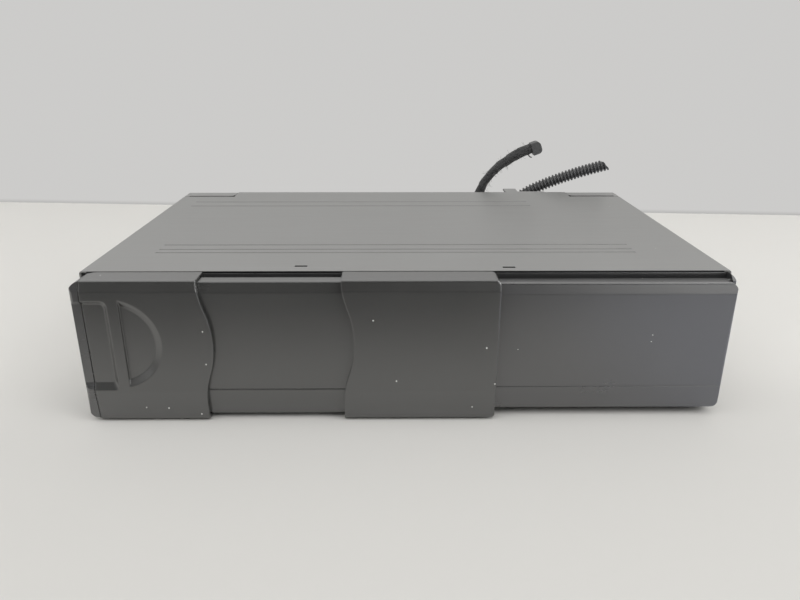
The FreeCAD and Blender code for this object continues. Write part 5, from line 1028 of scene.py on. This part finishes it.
def see_through_behind(sheet: NodeSheet, front: Node) -> None:
    """Make a surface clear from its back, so that views from behind and below show the box.

    Args:
        sheet: the material's nodes.
        front: the shader that its front shows.
    """
    behind = sheet.add("NewGeometry").outputs["Backfacing"]
    clear = sheet.add("BsdfTransparent").outputs["BSDF"]
    choice = sheet.add("MixShader", {0: behind, 1: front.outputs[0], 2: clear})
    sheet.fill(sheet.tree.nodes["Material Output"], {"Surface": choice.outputs["Shader"]})


def stage_plane(name: str, corners: Sequence[Point], material: Material) -> None:
    """Make one flat stage surface.

    Args:
        name: object name.
        corners: its four corners in metres.
        material: its finish.
    """
    mesh = bpy.data.meshes.new(name)
    mesh.from_pydata(corners, [], [(0, 1, 2, 3)])
    mesh.materials.append(material)
    plane = bpy.data.objects.new(name, mesh)
    bpy.context.scene.collection.objects.link(plane)


@dataclass
class Table:
    """The pale table under the box; lengths in metres."""

    half: float = 3.0
    colour: Colour = (0.80, 0.788, 0.762)
    # Darkening that the camera sees, over distances ahead of the origin
    shade: float = 0.14
    shade_span: Span = (0.03, 0.11)
    # Fade into the dark room that reflections see; right of the shift it starts further off
    fade_span: Span = (0.1, 0.27)
    fade_shift: float = 0.04
    dark: Colour = (0.1, 0.1, 0.1)
    # Cool light that reflections see on the right, the window's side
    window_side: Colour = (0.88, 0.9, 1.0)
    window_span: Span = (0.06, 0.16)
    window_share: float = 0.9

    def build(self) -> None:
        """Make the table top."""
        material, sheet, shader, at, mottled = stage_material("table_top", self.colour)
        sheet.fill(shader, {"Base Color": self._shade(sheet, sheet.axes(at), mottled)})
        see_through_behind(sheet, shader)
        h = self.half
        stage_plane("table_top", [(-h, -h, 0.0), (h, -h, 0.0), (h, h, 0.0), (-h, h, 0.0)], material)

    def _shade(self, sheet: NodeSheet, place: object, mottled: Socket) -> Socket:
        """Colour of the table, a little darker ahead of the box.

        Reflections see it fade further towards the dark room, later on the right than on the left.

        Args:
            sheet: the material's nodes.
            place: outputs X, Y and Z of the place.
            mottled: the plain colour.

        Returns:
            The shaded colour.
        """
        path = sheet.add("LightPath").outputs
        ahead = sheet.times(place["Y"], -1.0)
        dim = sheet.ramp(ahead, self.shade_span, (0.0, self.shade))
        near = sheet.blend(sheet.times(path["Is Camera Ray"], dim), mottled, BLACK)
        cool = sheet.ramp(place["X"], self.window_span, (0.0, self.window_share))
        near = sheet.blend(sheet.times(path["Is Glossy Ray"], cool), near, self.window_side)
        right = sheet.math("MAXIMUM", sheet.math("SUBTRACT", place["X"], self.fade_shift), 0.0)
        fade = sheet.ramp(sheet.math("SUBTRACT", ahead, right), self.fade_span)
        return sheet.blend(sheet.times(path["Is Glossy Ray"], fade), near, self.dark)


@dataclass
class Wall:
    """The wall behind the box, in one shade for the camera; lengths in metres, its turn in degrees."""

    back: float = 0.295
    turn: float = -4.5
    half: float = 3.0
    foot: float = -0.01
    top: float = 2.0
    colour: Colour = (0.61, 0.605, 0.595)
    # Thin darker line along the table, and its heights
    foot_shade: float = 0.8
    foot_span: Span = (0.0, 0.004)
    # Light that the upper part adds for reflections and glass, not for the camera, and the heights over
    # which it grows
    upper_glow: float = 1.4
    upper_span: Span = (0.1, 0.4)

    def build(self) -> None:
        """Make the wall: camera, mirrors and glass see its glow, all other light its plain surface."""
        material, sheet, shader, at, mottled = stage_material("room_wall", self.colour)
        sheet.fill(shader, {"Base Color": mottled})
        path = sheet.add("LightPath").outputs
        height = sheet.axes(at)["Z"]
        foot = sheet.ramp(height, self.foot_span, (self.foot_shade, 1.0))
        unseen = sheet.math("SUBTRACT", 1.0, path["Is Camera Ray"])
        upper = sheet.times(unseen, sheet.ramp(height, self.upper_span, (0.0, self.upper_glow)))
        glow = sheet.add("Emission", {"Color": mottled, "Strength": sheet.math("ADD", foot, upper)})
        mirrored = sheet.math("MAXIMUM", path["Is Glossy Ray"], path["Is Transmission Ray"])
        seen = sheet.math("MAXIMUM", path["Is Camera Ray"], mirrored)
        choice = sheet.add("MixShader", {0: seen, 1: shader.outputs["BSDF"], 2: glow.outputs["Emission"]})
        see_through_behind(sheet, choice)
        slope = math.tan(math.radians(self.turn)) * self.half
        left, right = self.back - slope, self.back + slope
        stage_plane("room_wall", [(-self.half, left, self.foot), (self.half, right, self.foot),
                                  (self.half, right, self.top), (-self.half, left, self.top)], material)


@dataclass
class Room:
    """Room light: a pale ceiling, pale sides, a dark room in front of the box and a far window.

    Spans are shares of a direction's length along one axis.
    """

    tone: Colour = (1.0, 1.0, 0.99)
    ceiling: float = 1.55
    ceiling_span: Span = (0.45, 0.75)
    side_low: float = 0.9
    front_low: float = 0.04
    front_span: Span = (0.45, 0.95)
    # What the camera sees past the wall
    backdrop: float = 0.62
    # Far window that only reflections see: near edge to the right, lower and upper edge, how far ahead
    window: float = 4.8
    window_side: Span = (0.24, 0.42)
    window_sill: Span = (0.2, 0.35)
    window_head: Span = (0.55, 0.7)
    window_ahead: Span = (0.3, 0.6)
    # Soft lamp, in metres and watts
    lamp_place: Point = (0.75, -0.55, 0.6)
    lamp_aim: Point = (0.15, -0.15, 0.0)
    lamp_size: float = 0.5
    lamp_watts: float = 1.6

    def build(self) -> None:
        """Light the scene."""
        self._world()
        self._lamp()

    def _world(self) -> None:
        """Light from far off: ceiling, sides, front and window by direction."""
        world = bpy.data.worlds.new("room")
        bpy.context.scene.world = world
        world.use_nodes = True
        sheet = NodeSheet(world.node_tree)
        way = sheet.axes(sheet.coordinates("Generated"))
        path = sheet.add("LightPath").outputs
        ahead = sheet.times(way["Y"], -1.0)
        high = sheet.ramp(way["Z"], self.ceiling_span)
        low = sheet.ramp(ahead, self.front_span, (self.side_low, self.front_low))
        rest = sheet.times(sheet.math("SUBTRACT", 1.0, high), low)
        room = sheet.math("ADD", sheet.times(high, self.ceiling), rest)
        window = sheet.times(path["Is Glossy Ray"], self._window(sheet, way, ahead))
        room = sheet.math("ADD", window, room)
        seen = sheet.times(path["Is Camera Ray"], self.backdrop)
        glow = sheet.times(sheet.math("SUBTRACT", 1.0, path["Is Camera Ray"]), room)
        sheet.fill(world.node_tree.nodes["Background"], {"Strength": sheet.math("ADD", seen, glow),
                                                         "Color": rgba(self.tone)})

    def _window(self, sheet: NodeSheet, way: object, ahead: object) -> Socket:
        """Light of the far window.

        Args:
            sheet: the world's nodes.
            way: outputs X, Y and Z of the direction.
            ahead: its forward share.

        Returns:
            The window's light in that direction.
        """
        upright = sheet.math("SUBTRACT", sheet.ramp(way["Z"], self.window_sill),
                             sheet.ramp(way["Z"], self.window_head))
        front = sheet.times(upright, sheet.ramp(ahead, self.window_ahead))
        return sheet.times(sheet.ramp(way["X"], self.window_side, (0.0, self.window)), front)

    def _lamp(self) -> None:
        """Soft square lamp to the right of the box."""
        lamp = bpy.data.lights.new("window_light", "AREA")
        lamp.shape = "SQUARE"
        lamp.size = self.lamp_size
        lamp.energy = self.lamp_watts
        holder = bpy.data.objects.new("window_light", lamp)
        away = np.array(self.lamp_place) - np.array(self.lamp_aim)
        away /= np.linalg.norm(away)
        side = np.cross([0.0, 1.0, 0.0], away)
        side /= np.linalg.norm(side)
        turn = Matrix(np.column_stack([side, np.cross(away, side), away]).tolist()).to_4x4()
        holder.matrix_world = Matrix.Translation(self.lamp_place) @ turn
        bpy.context.scene.collection.objects.link(holder)


def main() -> None:
    """Build the picture in order and report each piece."""
    logging.basicConfig(level=logging.INFO, format="%(name)s: %(message)s")
    bpy.context.scene.view_settings.view_transform = "Standard"
    palette = Palette()
    dressing = Dressing(palette)
    for section in (Viewpoint(), TapedLead(palette), RibbedConduit(palette), Shell(dressing),
                    Electronics(dressing), Magazine(dressing), Mechanism(dressing), Table(), Wall(), Room()):
        section.build()
        LOG.info("%s built", type(section).__name__)


if __name__ == "__main__":
    main()
